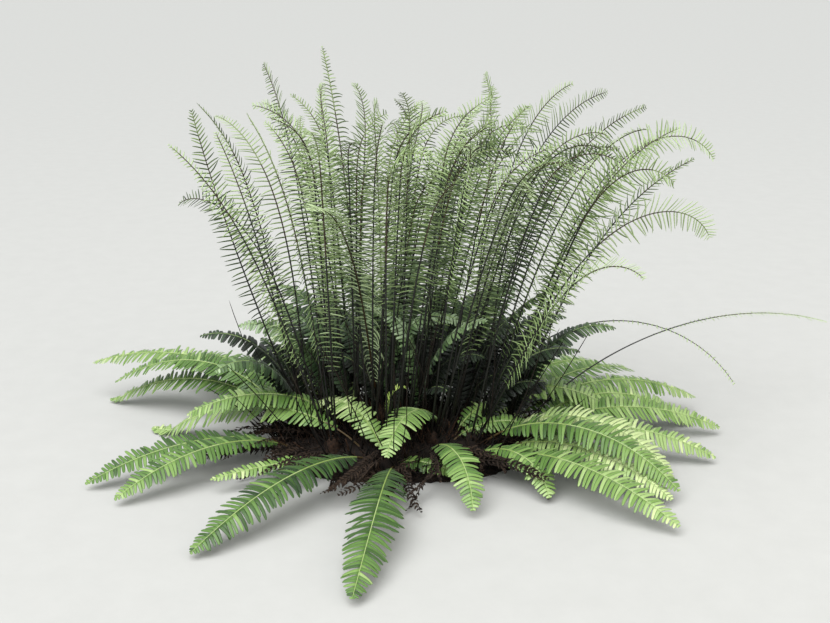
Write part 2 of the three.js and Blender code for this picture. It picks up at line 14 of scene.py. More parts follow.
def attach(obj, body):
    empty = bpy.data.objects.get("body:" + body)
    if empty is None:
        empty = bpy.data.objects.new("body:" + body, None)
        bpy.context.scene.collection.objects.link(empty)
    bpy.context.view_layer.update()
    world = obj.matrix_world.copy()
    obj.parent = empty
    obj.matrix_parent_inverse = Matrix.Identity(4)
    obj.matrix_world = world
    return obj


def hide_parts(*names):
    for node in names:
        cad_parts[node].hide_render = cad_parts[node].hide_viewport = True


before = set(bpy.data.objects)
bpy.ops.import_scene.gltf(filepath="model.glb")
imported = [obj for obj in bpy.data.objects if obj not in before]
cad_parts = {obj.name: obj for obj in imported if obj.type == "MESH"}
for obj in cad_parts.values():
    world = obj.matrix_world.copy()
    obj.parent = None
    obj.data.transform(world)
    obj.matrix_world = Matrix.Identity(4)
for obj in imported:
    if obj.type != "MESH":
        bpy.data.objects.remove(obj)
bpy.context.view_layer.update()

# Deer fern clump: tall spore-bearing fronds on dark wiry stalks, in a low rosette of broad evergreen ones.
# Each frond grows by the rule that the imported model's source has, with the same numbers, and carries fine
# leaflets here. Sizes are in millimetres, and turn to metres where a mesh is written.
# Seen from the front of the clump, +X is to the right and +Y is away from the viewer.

log = logging.getLogger("deer_fern")

Pair = tuple[float, float]  # a middle value and how far a number may be from it, or a value at each end
Array = np.ndarray
Number = float | Array
Rows = tuple[tuple[float, ...], ...]
Look = Callable[[bpy.types.NodeTree], tuple[dict, dict]]  # adds nodes and gives a shader's settings and links

MM = 0.001
GOLDEN_ANGLE = math.radians(137.50776)


class FrondKind(Enum):
    """The kinds of frond on the clump."""

    TALL = "tall"
    INNER = "inner"
    BROAD = "broad"
    TRAILING = "trailing"
    DEAD = "dead"
    YOUNG = "young"


@dataclass(frozen=True)
class Blade:
    """How one kind of frond carries its leaflets. Angles are in degrees and sizes in mm."""

    stipe: Pair  # the bare share of the rib, and how much it differs from frond to frond
    pitch: float  # mean spacing of the leaflets
    crowding: float  # above 1, leaflets stand closer towards the tip
    peak: float  # where along the blade the leaflets are longest
    rise: float  # how steeply they lengthen up to there
    sweep: Pair  # how far a leaflet leans forward
    tip_sweep: float  # how much more it does so at the tip
    lift: float  # how far a leaflet rises out of the blade
    curl: Pair  # how far it bends on towards the frond's tip
    droop: Pair  # how far it bends down
    hook: Pair  # how far it bends back at the foot of the blade
    twist: float  # how far the tips of leaflets turn about their own middle lines, either way
    wind: float  # how far the blade turns about its rib from foot to tip
    rib: Pair  # radius of the rib at its foot and tip
    tail: Pair = (1.0, 0.0)  # the share of their length that leaflets in the last part of the blade keep
    light_turn: float = 0.0  # how far the blade turns about its rib towards the light, in front of the clump


BLADES: dict[FrondKind, Blade] = {
    FrondKind.TALL: Blade(
        stipe=(0.29, 0.07), pitch=8.4, crowding=1.16, peak=0.48, rise=0.36, sweep=(6, 10), tip_sweep=30,
        lift=10, curl=(-6, 22), droop=(20, 26), hook=(30, 40), twist=18, wind=50, rib=(2.2, 0.8),
        tail=(0.78, 0.22), light_turn=58,
    ),
    FrondKind.INNER: Blade(
        stipe=(0.13, 0.0), pitch=8.0, crowding=1.12, peak=0.46, rise=0.5, sweep=(8, 4), tip_sweep=10, lift=-4,
        curl=(10, 6), droop=(26, 14), hook=(0, 10), twist=4, wind=10, rib=(1.8, 0.5), light_turn=20,
    ),
    FrondKind.BROAD: Blade(
        stipe=(0.13, 0.0), pitch=8.2, crowding=1.12, peak=0.46, rise=0.5, sweep=(7, 3), tip_sweep=12, lift=-2,
        curl=(12, 6), droop=(20, 12), hook=(0, 10), twist=4, wind=10, rib=(1.8, 0.5), light_turn=20,
    ),
    FrondKind.TRAILING: Blade(
        stipe=(0.42, 0.0), pitch=9.0, crowding=1.1, peak=0.7, rise=0.6, sweep=(20, 8), tip_sweep=10, lift=8,
        curl=(0, 20), droop=(28, 24), hook=(0, 20), twist=24, wind=20, rib=(1.7, 0.5),
    ),
    FrondKind.DEAD: Blade(
        stipe=(0.1, 0.0), pitch=9.0, crowding=1.1, peak=0.4, rise=0.4, sweep=(26, 10), tip_sweep=10, lift=20,
        curl=(70, 60), droop=(80, 70), hook=(0, 40), twist=60, wind=60, rib=(1.3, 0.4),
    ),
    FrondKind.YOUNG: Blade(
        stipe=(0.3, 0.0), pitch=4.2, crowding=1.1, peak=0.4, rise=0.4, sweep=(32, 6), tip_sweep=10, lift=16,
        curl=(14, 10), droop=(-10, 10), hook=(0, 0), twist=8, wind=0, rib=(1.4, 0.5),
    ),
}

RULE_STEPS = 48  # parts of a rib
GROUND_REST = 7.0  # how high a rib lies where it rests on the ground
DEAD_REST = 3.0  # how high a dead frond lies on the mound
NOD_FROM = 0.74  # where along a rib its tip starts to nod
NOD_EASE = 1.4
BEFORE_TIP = 0.999999  # the last place on a rib that has a part of the rib after it


class Draws:
    """Numbers from 0 to 1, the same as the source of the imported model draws."""

    def __init__(self, seed: int) -> None:
        """Starts from a seed."""
        self.state = seed

    def next(self) -> float:
        """Gives the next number."""
        word = 0xFFFFFFFF
        self.state = (self.state + 0x6D2B79F5) & word
        mixed = ((self.state ^ (self.state >> 15)) * (self.state | 1)) & word
        mixed ^= (mixed + (((mixed ^ (mixed >> 7)) * (mixed | 61)) & word)) & word
        return ((mixed ^ (mixed >> 14)) & word) / (word + 1)

    def about(self, pair: Pair) -> float:
        """Gives a number about a middle value."""
        return pair[0] + (self.next() * 2 - 1) * pair[1]

    def each(self, pairs: dict[str, Pair]) -> dict[str, float]:
        """Gives a number about each of several middle values, in their order."""
        return {name: self.about(pair) for name, pair in pairs.items()}


def leaning(lean: Array, turn: Array) -> tuple[Array, Array]:
    """Works out ways that lean from upright towards a heading.

    Args:
        lean: the angles from upright, in radians.
        turn: the headings, in radians.

    Returns:
        The ways, and the level ways to their left, all of unit length.
    """
    way = np.stack([np.sin(lean) * np.cos(turn), np.sin(lean) * np.sin(turn), np.cos(lean)], axis=-1)
    return way, np.stack([-np.sin(turn), np.cos(turn), np.zeros_like(turn)], axis=-1)


def on_oval(size: Sequence[float], share: Number, turn: Number) -> tuple[Number, Number]:
    """Gives places x and y in an oval, at a share of the way out and a direction in radians."""
    return size[0] * share * np.cos(turn), size[1] * share * np.sin(turn)


@dataclass
class Frond:
    """One frond: where its foot is, and how its rib leans, turns and bends. Leans are from upright."""

    kind: FrondKind
    root: Array
    length: float
    foot_lean: float
    tip_lean: float
    heading: float
    sway: float
    width: float  # length of its longest leaflets
    bend: float = 0.7
    roll: float = 0.0
    tuft: int = -1
    is_marked: bool = False
    nod: float = 0.0  # how much more the tip leans than the rule gives, in degrees
    nod_turn: float = 0.0  # how far the tip turns aside as it nods
    hook: float = 0.0  # how much further than its kind's its leaflets bend back, in degrees
    tone: float = 0.0  # how much paler than the kind its leaflets are, in tints, on some fronds as painted light and shade
    girth: float = 1.0  # how much wider its leaflets are
    stretch: float = 1.0  # how much longer they are along their bend
    bare: float = 0.0  # the bare share of its rib, or 0 where it is as its kind's
    line: Array = field(default_factory=lambda: np.zeros((0, 3)))

    def ways(self, shares: Array) -> tuple[Array, Array]:
        """Works out the way the rib runs, and the way its left edge faces before it rolls.

        Args:
            shares: places along the rib, from 0 at its foot to 1 at its tip.

        Returns:
            Two arrays of unit vectors.
        """
        near_tip = np.clip((shares - NOD_FROM) / (1 - NOD_FROM), 0, 1) ** NOD_EASE
        lean = self.foot_lean + (self.tip_lean - self.foot_lean) * shares**self.bend + self.nod * near_tip
        turn = self.heading + self.sway * shares * shares + self.nod_turn * near_tip
        return leaning(np.radians(lean), np.radians(turn))

    def lay_rib(self) -> None:
        """Lays the rib's points from foot to tip. Where it comes down to the ground it lies on it."""
        along, _ = self.ways((np.arange(RULE_STEPS) + 0.5) / RULE_STEPS)
        steps = along * (self.length / RULE_STEPS)
        line = np.vstack([self.root, self.root + np.cumsum(steps, axis=0)])
        for k, down in enumerate(steps[:, 2]):
            reached = line[k, 2] + down
            line[k + 1, 2] = max(reached, GROUND_REST) if down < 0 else reached
        self.line = line


def gaps_between(a: Array, b: Array, c: Array, d: Array) -> Array:
    """Works out the least distances between the segments ab and cd, row by row.

    Args:
        a, b: ends of the first segments.
        c, d: ends of the second segments.

    Returns:
        One distance for each pair.
    """
    ab, cd, ca = b - a, d - c, a - c
    abab, cdcd, abcd = (ab * ab).sum(-1), (cd * cd).sum(-1), (ab * cd).sum(-1)
    abca, cdca = (ab * ca).sum(-1), (cd * ca).sum(-1)
    spread = abab * cdcd - abcd * abcd
    apart = np.where(spread > 1e-9, spread, 1.0)
    s = np.where(spread > 1e-9, np.clip((abcd * cdca - cdcd * abca) / apart, 0, 1), 0)
    t = np.clip((abcd * s + cdca) / cdcd, 0, 1)
    s = np.clip((abcd * t - abca) / abab, 0, 1)
    return np.linalg.norm(a + ab * s[..., None] - c - cd * t[..., None], axis=-1)


@dataclass
class Clump:
    """All the fronds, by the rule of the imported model's source. Each pair is a middle value and a spread."""

    mound: tuple[float, float, float] = (250, 178, 45)  # half its width and depth, and its height
    tufts: int = 22
    inner_seats: tuple[int, ...] = (0, 1, 14, 3, 4, 16, 6, 19, 8, 9, 17, 11)  # tufts with a broad frond
    foot: Pair = (204, 130)  # half the width and depth of the part of the mound that the crowns stand on
    top: Pair = (470, 370)  # the same for the tops of the tall fronds
    top_shift: Pair = (80, 15)
    splay: float = 0.16  # how far apart the tops of one tuft stand, as a share of the clump
    outer_extra: float = 36  # how much longer a tall frond at the rim is
    lanky_extra: float = 24
    lanky_share: float = 0.06
    widest_reach: float = 0.86  # how far out a top may be, as a share of the frond's length
    foot_lean_share: float = 0.66
    root_ring: float = 6  # how far from its crown's middle a tall frond has its foot
    sink: float = 12  # how deep the feet of the single fronds are
    crown_radius: float = 17
    crown_rise: float = 24
    rib_clearance: float = 11
    crown_clearance: float = 4
    dodge_step: float = 2.5  # degrees
    dodge_tries: int = 17
    stride: int = 3  # parts of a rib that count as one where its room is measured
    common: int = 4  # of these, how many at the foot may stand close to the tuft's own ribs
    open_tufts: tuple[int, ...] = (2, 7, 10, 15)  # in front, where the stalks are bare higher up
    open_bare: float = 0.43
    more_from: float = -24  # more fronds stand behind this line only, so that the front stays open
    more_length: Pair = (0.84, 0.16)  # the share of its length that each of them keeps, and what luck adds
    inner_more: Rows = ((0.94, -1.4), (0.72, -2.2), (0.5, -3.0))  # their share of the length, and tone: darker for the shorter ones, as painted shade inside the clump
    clear_tufts: tuple[int, ...] = (4,)  # tufts without those, so that the arches on the left stay in view
    inner_lean: Pair = (6, 12)  # at the foot: in the middle of the clump, and how much more at the rim
    inner_bend: float = 2
    trailing_tone: float = 1.2
    nod: Pair = (46, 44)
    nod_turn: Pair = (0, 70)
    nod_below: float = 60  # fronds whose tips lean more than this don't nod
    seat_roll: Pair = (0, 8)
    dead_fronds: int = 110
    dead_place: Pair = (0, 8)  # degrees round the mound
    dead_out: Pair = (0.78, 0.16)  # a share of the mound
    dead_rise: float = 40  # how much more upright those at the back stand, in degrees, where, nearly black, they fill the shade behind the foot
    far_fronds: int = 9
    far_from: float = 32  # where the far side's first frond stands, in degrees round the mound
    far_step: float = 13.5
    far_place: Pair = (0, 2)
    far_seat: float = 1.16
    fronds: list[Frond] = field(default_factory=list)
    middles: list[Array] = field(default_factory=list)

    # The numbers that are drawn for each frond, in the order in which they are drawn
    tall_draws: ClassVar[dict[str, Pair]] = {
        "length": (632, 42), "bend": (3.2, 0.8), "heading": (0, 3), "sway": (0, 14), "roll": (0, 60),
        "width": (34, 5),
    }
    inner_draws: ClassVar[dict[str, Pair]] = {
        "length": (325, 50), "tip_lean": (100, 25), "heading": (0, 40), "sway": (0, 12), "roll": (0, 10),
        "width": (32, 4),
    }
    far_draws: ClassVar[dict[str, Pair]] = {
        "heading": (0, 6), "length": (430, 50), "foot_lean": (42, 8), "tip_lean": (114, 6), "sway": (0, 10),
        "width": (37, 4),
    }
    dead_draws: ClassVar[dict[str, Pair]] = {
        "length": (150, 60), "foot_lean": (66, 16), "tip_lean": (108, 10), "heading": (0, 44),
        "sway": (0, 50), "width": (17, 5), "roll": (0, 60),
    }
    # The tall fronds that can be told apart from the front, by tuft and place in it: heading, length, lean
    # at the foot and tip, bend, sway, and the roll and width of the one that arches to the front
    marked: ClassVar[dict[tuple[int, int], tuple[float, ...]]] = {
        (1, 1): (-112, 600, 15, 92, 3.3, 5, 4, 42),
        (7, 1): (108, 746, 12, 36, 3.1, 0),
        (8, 0): (67, 755, 21, 62, 3.0, 32),
        (8, 2): (43, 756, 13, 83, 2.8, -10),
        (9, 2): (131, 702, 5, 94, 3.7, -8),
        (12, 0): (119, 754, 14, 61, 3.5, -4),
        (12, 1): (172, 590, 16, 123, 4.1, -28),
        (13, 2): (-37, 705, 6, 111, 4.0, -16),
        (16, 0): (-52, 676, 9, 130, 3.8, -3),
        (16, 1): (54, 751, 11, 80, 3.0, -10),
        (16, 2): (27, 740, 16, 79, 2.6, -2),
        (17, 0): (180, 596, 12, 24, 3.5, -1),
        (17, 1): (145, 678, 6, 87, 3.8, -8),
        (17, 2): (196, 647, 19, 12, 2.1, 1),
        (18, 0): (-31, 558, 26, 118, 4.5, -24),
        (18, 2): (1, 696, 25, 155, 3.9, 19),
        (20, 0): (184, 642, 7, 32, 3.9, 0),
        (20, 2): (188, 638, 18, 49, 3.6, -2),
        (21, 1): (-36, 706, 17, 123, 5.0, -22),
        (21, 2): (13, 804, 16, 149, 3.8, 11),
    }
    # Those with a form of their own: how far their leaflets bend back, how pale, wide and long these are, and
    # the bare share, or 0 where it is as the others'. The first one arches to the front.
    formed: ClassVar[dict[tuple[int, int], tuple[float, ...]]] = {
        (1, 1): (104, 2.8, 1.35, 1.26, 0.14),
        (8, 0): (0, 0, 1, 1.2, 0),
        (8, 2): (0, 0, 1, 1.2, 0),
        (13, 2): (0, 0, 1, 1.2, 0),
        (16, 1): (0, 0, 1, 1.25, 0),
        (16, 2): (0, 0, 1, 1.25, 0),
        (18, 0): (0, 0.2, 1.1, 1.45, 0),
        (18, 2): (0, 0, 1.1, 1.3, 0),
        (21, 1): (0, 0, 1, 1.3, 0),
        (21, 2): (0, 0, 1.1, 1.3, 0),
    }
    marked_names: ClassVar[tuple[str, ...]] = (
        "heading", "length", "foot_lean", "tip_lean", "bend", "sway", "roll", "width",
    )

    # The broad fronds that can be told apart: foot at x and y, heading, length, leans, sway and width. The
    # fronds in the tables below have the same numbers, and some a bend.
    rosette: ClassVar[Rows] = (
        (-12, -140, -95, 470, 60, 111, -6, 47),
        (54, -102, -65, 258, 30, 135, -23, 34),
        (-50, -124, -128, 450, 54, 117, -7, 44),
        (-200, -50, -144, 385, 48, 118, 2, 36),
        (-214, -24, -152, 405, 55, 113, -2, 34),
        (-70, -94, 158, 510, 42, 135, -4, 42),
        (-63, 38, 139, 414, 28, 144, -1, 38),
        (-139, 47, 117, 505, 12, 158, 68, 38),
        (-186, 62, 150, 560, 44, 111, 18, 38),
        (-211, 58, 153, 486, 40, 126, 14, 36),
        (-209, 18, 145, 490, 26, 124, 30, 34),
        (-112, 1, 195, 335, 22, 119, -9, 38),
        (-30, -131, 130, 251, 4, 122, 8, 34),
        (72, -18, -122, 265, 5, 133, 22, 38),
        (98, -53, 45, 245, 19, 145, -29, 34),
        (204, 56, 22, 455, 42, 118, -16, 40),
        (134, 47, 2, 440, 23, 153, -15, 42),
        (184, -44, -19, 385, 22, 138, -12, 44),
        (150, -98, -41, 430, 54, 114, -4, 42),
        (176, -72, -33, 375, 46, 120, -5, 40),
        (128, -112, -34, 230, 26, 134, -46, 33),
        (160, -113, 27, 195, 50, 124, 11, 26),
        (216, -12, 12, 440, 50, 116, -12, 38),
        (208, -36, -8, 405, 48, 118, -2, 36),
        (150, -62, -26, 425, 34, 128, -14, 43),
        (228, 12, 18, 420, 30, 132, -22, 40),
    )
    trailing: ClassVar[Rows] = (
        (221, 36, 20, 800, 41, 109, 2, 13, 0.83),
        (145, 92, 9, 635, 24, 140, -49, 11, 1.1),
    )
    # How much paler some of the broad fronds are than their kind, in tints: partly their own tone, and partly
    # painted light, as on the arches on the left, which lie in the tall fronds' shade
    shades: ClassVar[dict[int, float]] = {
        0: -1.2, 2: -1.7, 3: -0.9, 4: -0.7, 5: 0.9, 6: 2.4, 7: 1.6, 8: -0.2, 9: -0.2, 10: -0.3, 13: -0.1,
        14: 1.0, 15: 0.4, 16: 1.3, 17: 1.1, 18: 0.3, 19: 0.6, 20: 0.1, 24: 1.2, 25: 0.8,
    }
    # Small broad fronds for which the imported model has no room
    small: ClassVar[Rows] = (
        (-112, -112, 187, 250, 72, 98, -4, 20),
        (-18, -132, -40, 135, 60, 112, 0, 24),
        (92, -66, 2, 215, 36, 124, -6, 25),
    )
    # Broad fronds that can be told apart among the stalks, with how much paler they are than their kind; the
    # darker ones stand behind the stalks, and their darkness is painted shade
    among: ClassVar[Rows] = (
        (-17, 24, 90, 240, 4, 34, 0, 31, 2.0, -1.2),
        (112, 22, 80, 245, 4, 34, 0, 34, 2.0, -1.0),
        (-44, 44, -12, 345, 4, 150, 0, 27, 2.4, 1.4),
        (36, 6, 178, 300, 2, 106, 0, 27, 3.0, 1.0),
        (27, 66, 92, 320, 3, 44, 0, 33, 2.0, 0.2),
    )
    # A young frond, still rolled at its tip
    young: ClassVar[Rows] = ((-28, -52, 10, 124, 2, 128, 0, 16, 5.0),)

    def height(self, x: float, y: float) -> float:
        """Gives the height of the mound at a place."""
        q = (x / self.mound[0]) ** 2 + (y / self.mound[1]) ** 2
        return self.mound[2] * max(0.0, 1 - q * q)

    def room(self, frond: Frond) -> float:
        """Measures how clear a frond's rib is of the other ribs and of the crowns.

        Args:
            frond: the frond, with its rib laid.

        Returns:
            1 where it has all the room that it needs, and less where it doesn't.
        """
        ends = slice(self.stride, RULE_STEPS + 1, self.stride)
        feet = slice(0, RULE_STEPS, self.stride)
        least = math.inf
        if self.fronds:
            lines = np.stack([other.line for other in self.fronds])
            mine = frond.line[feet][:, None, None], frond.line[ends][:, None, None]
            gaps = gaps_between(*mine, lines[None, :, feet], lines[None, :, ends])
            kin = np.array([frond.tuft >= 0 and frond.tuft == other.tuft for other in self.fronds])
            gaps[: self.common, kin] = math.inf
            gaps[:, kin, : self.common] = math.inf
            least = float(gaps.min())
        crown = math.inf
        for k, middle in enumerate(self.middles):
            low = frond.line[frond.line[:, 2] < middle[2] + self.crown_rise + self.crown_clearance]
            if k != frond.tuft and len(low):
                out = np.hypot(low[:, 0] - middle[0], low[:, 1] - middle[1]) - self.crown_radius
                crown = min(crown, float(out.min()))
        return min(least / self.rib_clearance, crown / self.crown_clearance, 1)

    def grow(self, frond: Frond) -> None:
        """Adds a frond, turned by as few steps as keep its rib clear of what is there."""
        best, best_room = frond, -math.inf
        for k in range(self.dodge_tries):
            turn = math.ceil(k / 2) * (self.dodge_step if k % 2 else -self.dodge_step)
            tried = replace(frond, heading=frond.heading + turn)
            tried.lay_rib()
            room = self.room(tried)
            if room > best_room:
                best, best_room = tried, room
            if best_room == 1:
                break
        self.fronds.append(best)

    def tall_frond(self, draw: Draws, tuft: int, side: float) -> Frond:
        """Plans a tall frond: its foot is on one side of its crown and its top leans out to that side.

        Args:
            draw: the numbers to draw from.
            tuft: which tuft it stands on.
            side: the direction from the crown's middle, in radians.

        Returns:
            The frond, not yet grown.
        """
        middle = self.middles[tuft]
        disc = middle[0] / self.foot[0], middle[1] / self.foot[1]
        root = middle + self.root_ring * np.array([math.cos(side), math.sin(side), 0.0])
        top_x = self.top_shift[0] + self.top[0] * (disc[0] + self.splay * math.cos(side))
        top_y = self.top_shift[1] + self.top[1] * (disc[1] + self.splay * math.sin(side))
        lanky = self.lanky_extra if draw.next() < self.lanky_share else 0
        drawn = draw.each(self.tall_draws)
        drawn["length"] = drawn["length"] + self.outer_extra * math.hypot(*disc) + lanky
        drawn["heading"] += math.degrees(math.atan2(top_y - root[1], top_x - root[0]))
        reach = min(math.hypot(top_x - root[0], top_y - root[1]), self.widest_reach * drawn["length"])
        mean_lean = math.degrees(math.asin(reach / drawn["length"]))
        foot_lean = self.foot_lean_share * mean_lean
        tip_lean = foot_lean + (mean_lean - foot_lean) * (drawn["bend"] + 1)
        return Frond(FrondKind.TALL, root, foot_lean=foot_lean, tip_lean=tip_lean, tuft=tuft, **drawn)

    def inner_frond(self, draw: Draws, tuft: int) -> Frond:
        """Plans the broad frond that stands up in the middle of a tuft."""
        middle = self.middles[tuft]
        disc = middle[0] / self.foot[0], middle[1] / self.foot[1]
        drawn = draw.each(self.inner_draws)
        drawn["heading"] += math.degrees(math.atan2(disc[1], disc[0]))
        foot_lean = self.inner_lean[0] + self.inner_lean[1] * math.hypot(*disc)
        root, bend = middle.copy(), self.inner_bend
        return Frond(FrondKind.INNER, root, foot_lean=foot_lean, bend=bend, tuft=tuft, **drawn)

    def grow_tufts(self, seed: int = 7) -> None:
        """Plans the tufts' fronds in the order their numbers are drawn, and grows the marked ones first."""
        draw = Draws(seed)
        marked, others = [], []
        for tuft in range(self.tufts):
            turn = draw.next() * 2 * math.pi
            for place in range(3):
                frond = self.tall_frond(draw, tuft, turn + place * 2 * math.pi / 3)
                stated = dict(zip(self.marked_names, self.marked.get((tuft, place), ())))
                form = self.formed.get((tuft, place), (0, 0, 1, 1, 0))
                frond.hook, frond.tone, frond.girth, frond.stretch, frond.bare = form
                if tuft in self.open_tufts:
                    frond.bare = self.open_bare
                frond.is_marked = bool(stated)
                (marked if stated else others).append(replace(frond, **stated))
            if tuft < len(self.inner_seats):
                others.append(self.inner_frond(draw, self.inner_seats[tuft]))
        for frond in marked + others:
            self.grow(frond)

    def planned(self, kind: FrondKind, row: Sequence[float]) -> Frond:
        """Plans a single frond on the mound."""
        x, y, heading, length, foot_lean, tip_lean, sway, width, *bend = row
        root = np.array([x, y, self.height(x, y) - self.sink])
        return Frond(kind, root, length, foot_lean, tip_lean, heading, sway, width, *bend)

    def seat(self, draw: Draws, kind: FrondKind, row: Sequence[float], tone: float = 0.0) -> None:
        """Grows a single frond on the mound."""
        self.grow(replace(self.planned(kind, row), roll=draw.about(self.seat_roll), tone=tone))

    def far_row(self, draw: Draws, k: int) -> Sequence[float]:
        """Draws the numbers of a frond on the far side."""
        place = self.far_from + k * self.far_step + draw.about(self.far_place)
        x, y = on_oval(self.foot, self.far_seat, math.radians(place))
        heading, *others = draw.each(self.far_draws).values()
        return x, y, place + heading, *others

    def grow_rosette(self, seed: int = 11) -> None:
        """Grows the single fronds: those that can be told apart, the trailing ones and the far side."""
        draw = Draws(seed)
        for k, row in enumerate(self.rosette):
            self.seat(draw, FrondKind.BROAD, row, self.shades.get(k, 0))
        for row in self.trailing:
            self.seat(draw, FrondKind.TRAILING, row, self.trailing_tone)
        for k in range(self.far_fronds):
            self.seat(draw, FrondKind.BROAD, self.far_row(draw, k))

    def fill_in(self, seed: int = 5) -> None:
        """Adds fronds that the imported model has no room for, by the same rule and within the same reach."""
        draw = Draws(seed)
        for tuft in range(self.tufts):
            if self.middles[tuft][1] < self.more_from:
                continue
            frond = self.tall_frond(draw, tuft, draw.next() * 2 * math.pi)
            kept = self.more_length[0] + self.more_length[1] * draw.next()
            self.grow(replace(frond, length=frond.length * kept))
            for length, tone in self.inner_more:
                frond = self.inner_frond(draw, tuft)
                if tuft not in self.clear_tufts:
                    self.grow(replace(frond, length=frond.length * length, tone=tone))
        for row in self.small:
            self.seat(draw, FrondKind.BROAD, row)
        for *row, tone in self.among:
            self.seat(draw, FrondKind.INNER, row, tone)

    def nod_tips(self, seed: int = 9) -> None:
        """Lets the tips of the tall fronds nod, each its own way, where the rule leaves them upright."""
        draw = Draws(seed)
        for frond in self.of_kind(FrondKind.TALL):
            nod, nod_turn = draw.about(self.nod), draw.about(self.nod_turn)
            if frond.tip_lean < self.nod_below and not frond.is_marked:
                frond.nod, frond.nod_turn = nod, nod_turn
                frond.lay_rib()

    def lay_dead(self, seed: int = 13) -> None:
        """Lays shrivelled fronds over the mound's edge, and sets the young fronds."""
        draw = Draws(seed)
        for k in range(self.dead_fronds):
            place = math.radians(k * 360 / self.dead_fronds + draw.about(self.dead_place))
            out = draw.about(self.dead_out)
            x, y = on_oval(self.mound, out, place)
            drawn = draw.each(self.dead_draws)
            drawn["foot_lean"] -= self.dead_rise * max(0.0, math.sin(place))
            drawn["heading"] += math.degrees(place)
            frond = Frond(FrondKind.DEAD, np.array([x, y, self.height(x, y)]), **drawn)
            frond.lay_rib()
            lowest = [self.height(a, b) + DEAD_REST for a, b in frond.line[:, :2]]
            frond.line[:, 2] = np.maximum(frond.line[:, 2], lowest)
            self.fronds.append(frond)
        for row in self.young:
            frond = self.planned(FrondKind.YOUNG, row)
            frond.lay_rib()
            self.fronds.append(frond)

    def build(self) -> None:
        """Places the crowns and grows every frond."""
        for k in range(self.tufts):
            x, y = on_oval(self.foot, math.sqrt((k + 0.5) / self.tufts), k * GOLDEN_ANGLE)
            self.middles.append(np.array([x, y, self.height(x, y)]))
        self.grow_tufts()
        self.grow_rosette()
        self.fill_in()
        self.nod_tips()
        self.lay_dead()

    def of_kind(self, kind: FrondKind) -> list[Frond]:
        """Gives the fronds of a kind, in the order they grew."""
        return [frond for frond in self.fronds if frond.kind is kind]


@dataclass(frozen=True)
class Axes:
    """Places along a rib: points, and the ways the rib runs and its left edge and upper side face."""

    point: Array
    along: Array
    left: Array
    up: Array

    @staticmethod
    def on(frond: Frond, shares: Array, wind: float = 0.0) -> "Axes":
        """Reads a frond's rib as a smooth line through its points.

        Args:
            frond: the frond, with its rib laid.
            shares: places along the rib, from 0 at its foot to 1 at its tip.
            wind: how far the blade turns about its rib from foot to tip, in degrees.

        Returns:
            The places, one row for each share.
        """
        line = frond.line
        ends = np.vstack([2 * line[0] - line[1], line, 2 * line[-1] - line[-2]])
        place = np.clip(shares, 0, BEFORE_TIP) * RULE_STEPS
        k = place.astype(int)
        t = (place - k)[:, None]
        p0, p1, p2, p3 = ends[k], ends[k + 1], ends[k + 2], ends[k + 3]
        a, b, c = 2 * p0 - 5 * p1 + 4 * p2 - p3, 3 * p1 - 3 * p2 + p3 - p0, p2 - p0
        point = p1 + 0.5 * (c * t + a * t**2 + b * t**3)
        along = unit(c + 2 * a * t + 3 * b * t**2)
        rule_along, level = frond.ways(shares)
        towards_light = BLADES[frond.kind].light_turn * level[:, 1]
        roll = np.radians(frond.roll + towards_light + wind * (shares - 0.5))[:, None]
        left = level * np.cos(roll) + np.cross(rule_along, level) * np.sin(roll)
        left = unit(left - along * (left * along).sum(-1, keepdims=True))
        return Axes(point, along, left, np.cross(along, left))


def unit(rows: Array) -> Array:
    """Gives each row a length of 1."""
    return rows / np.linalg.norm(rows, axis=-1, keepdims=True)


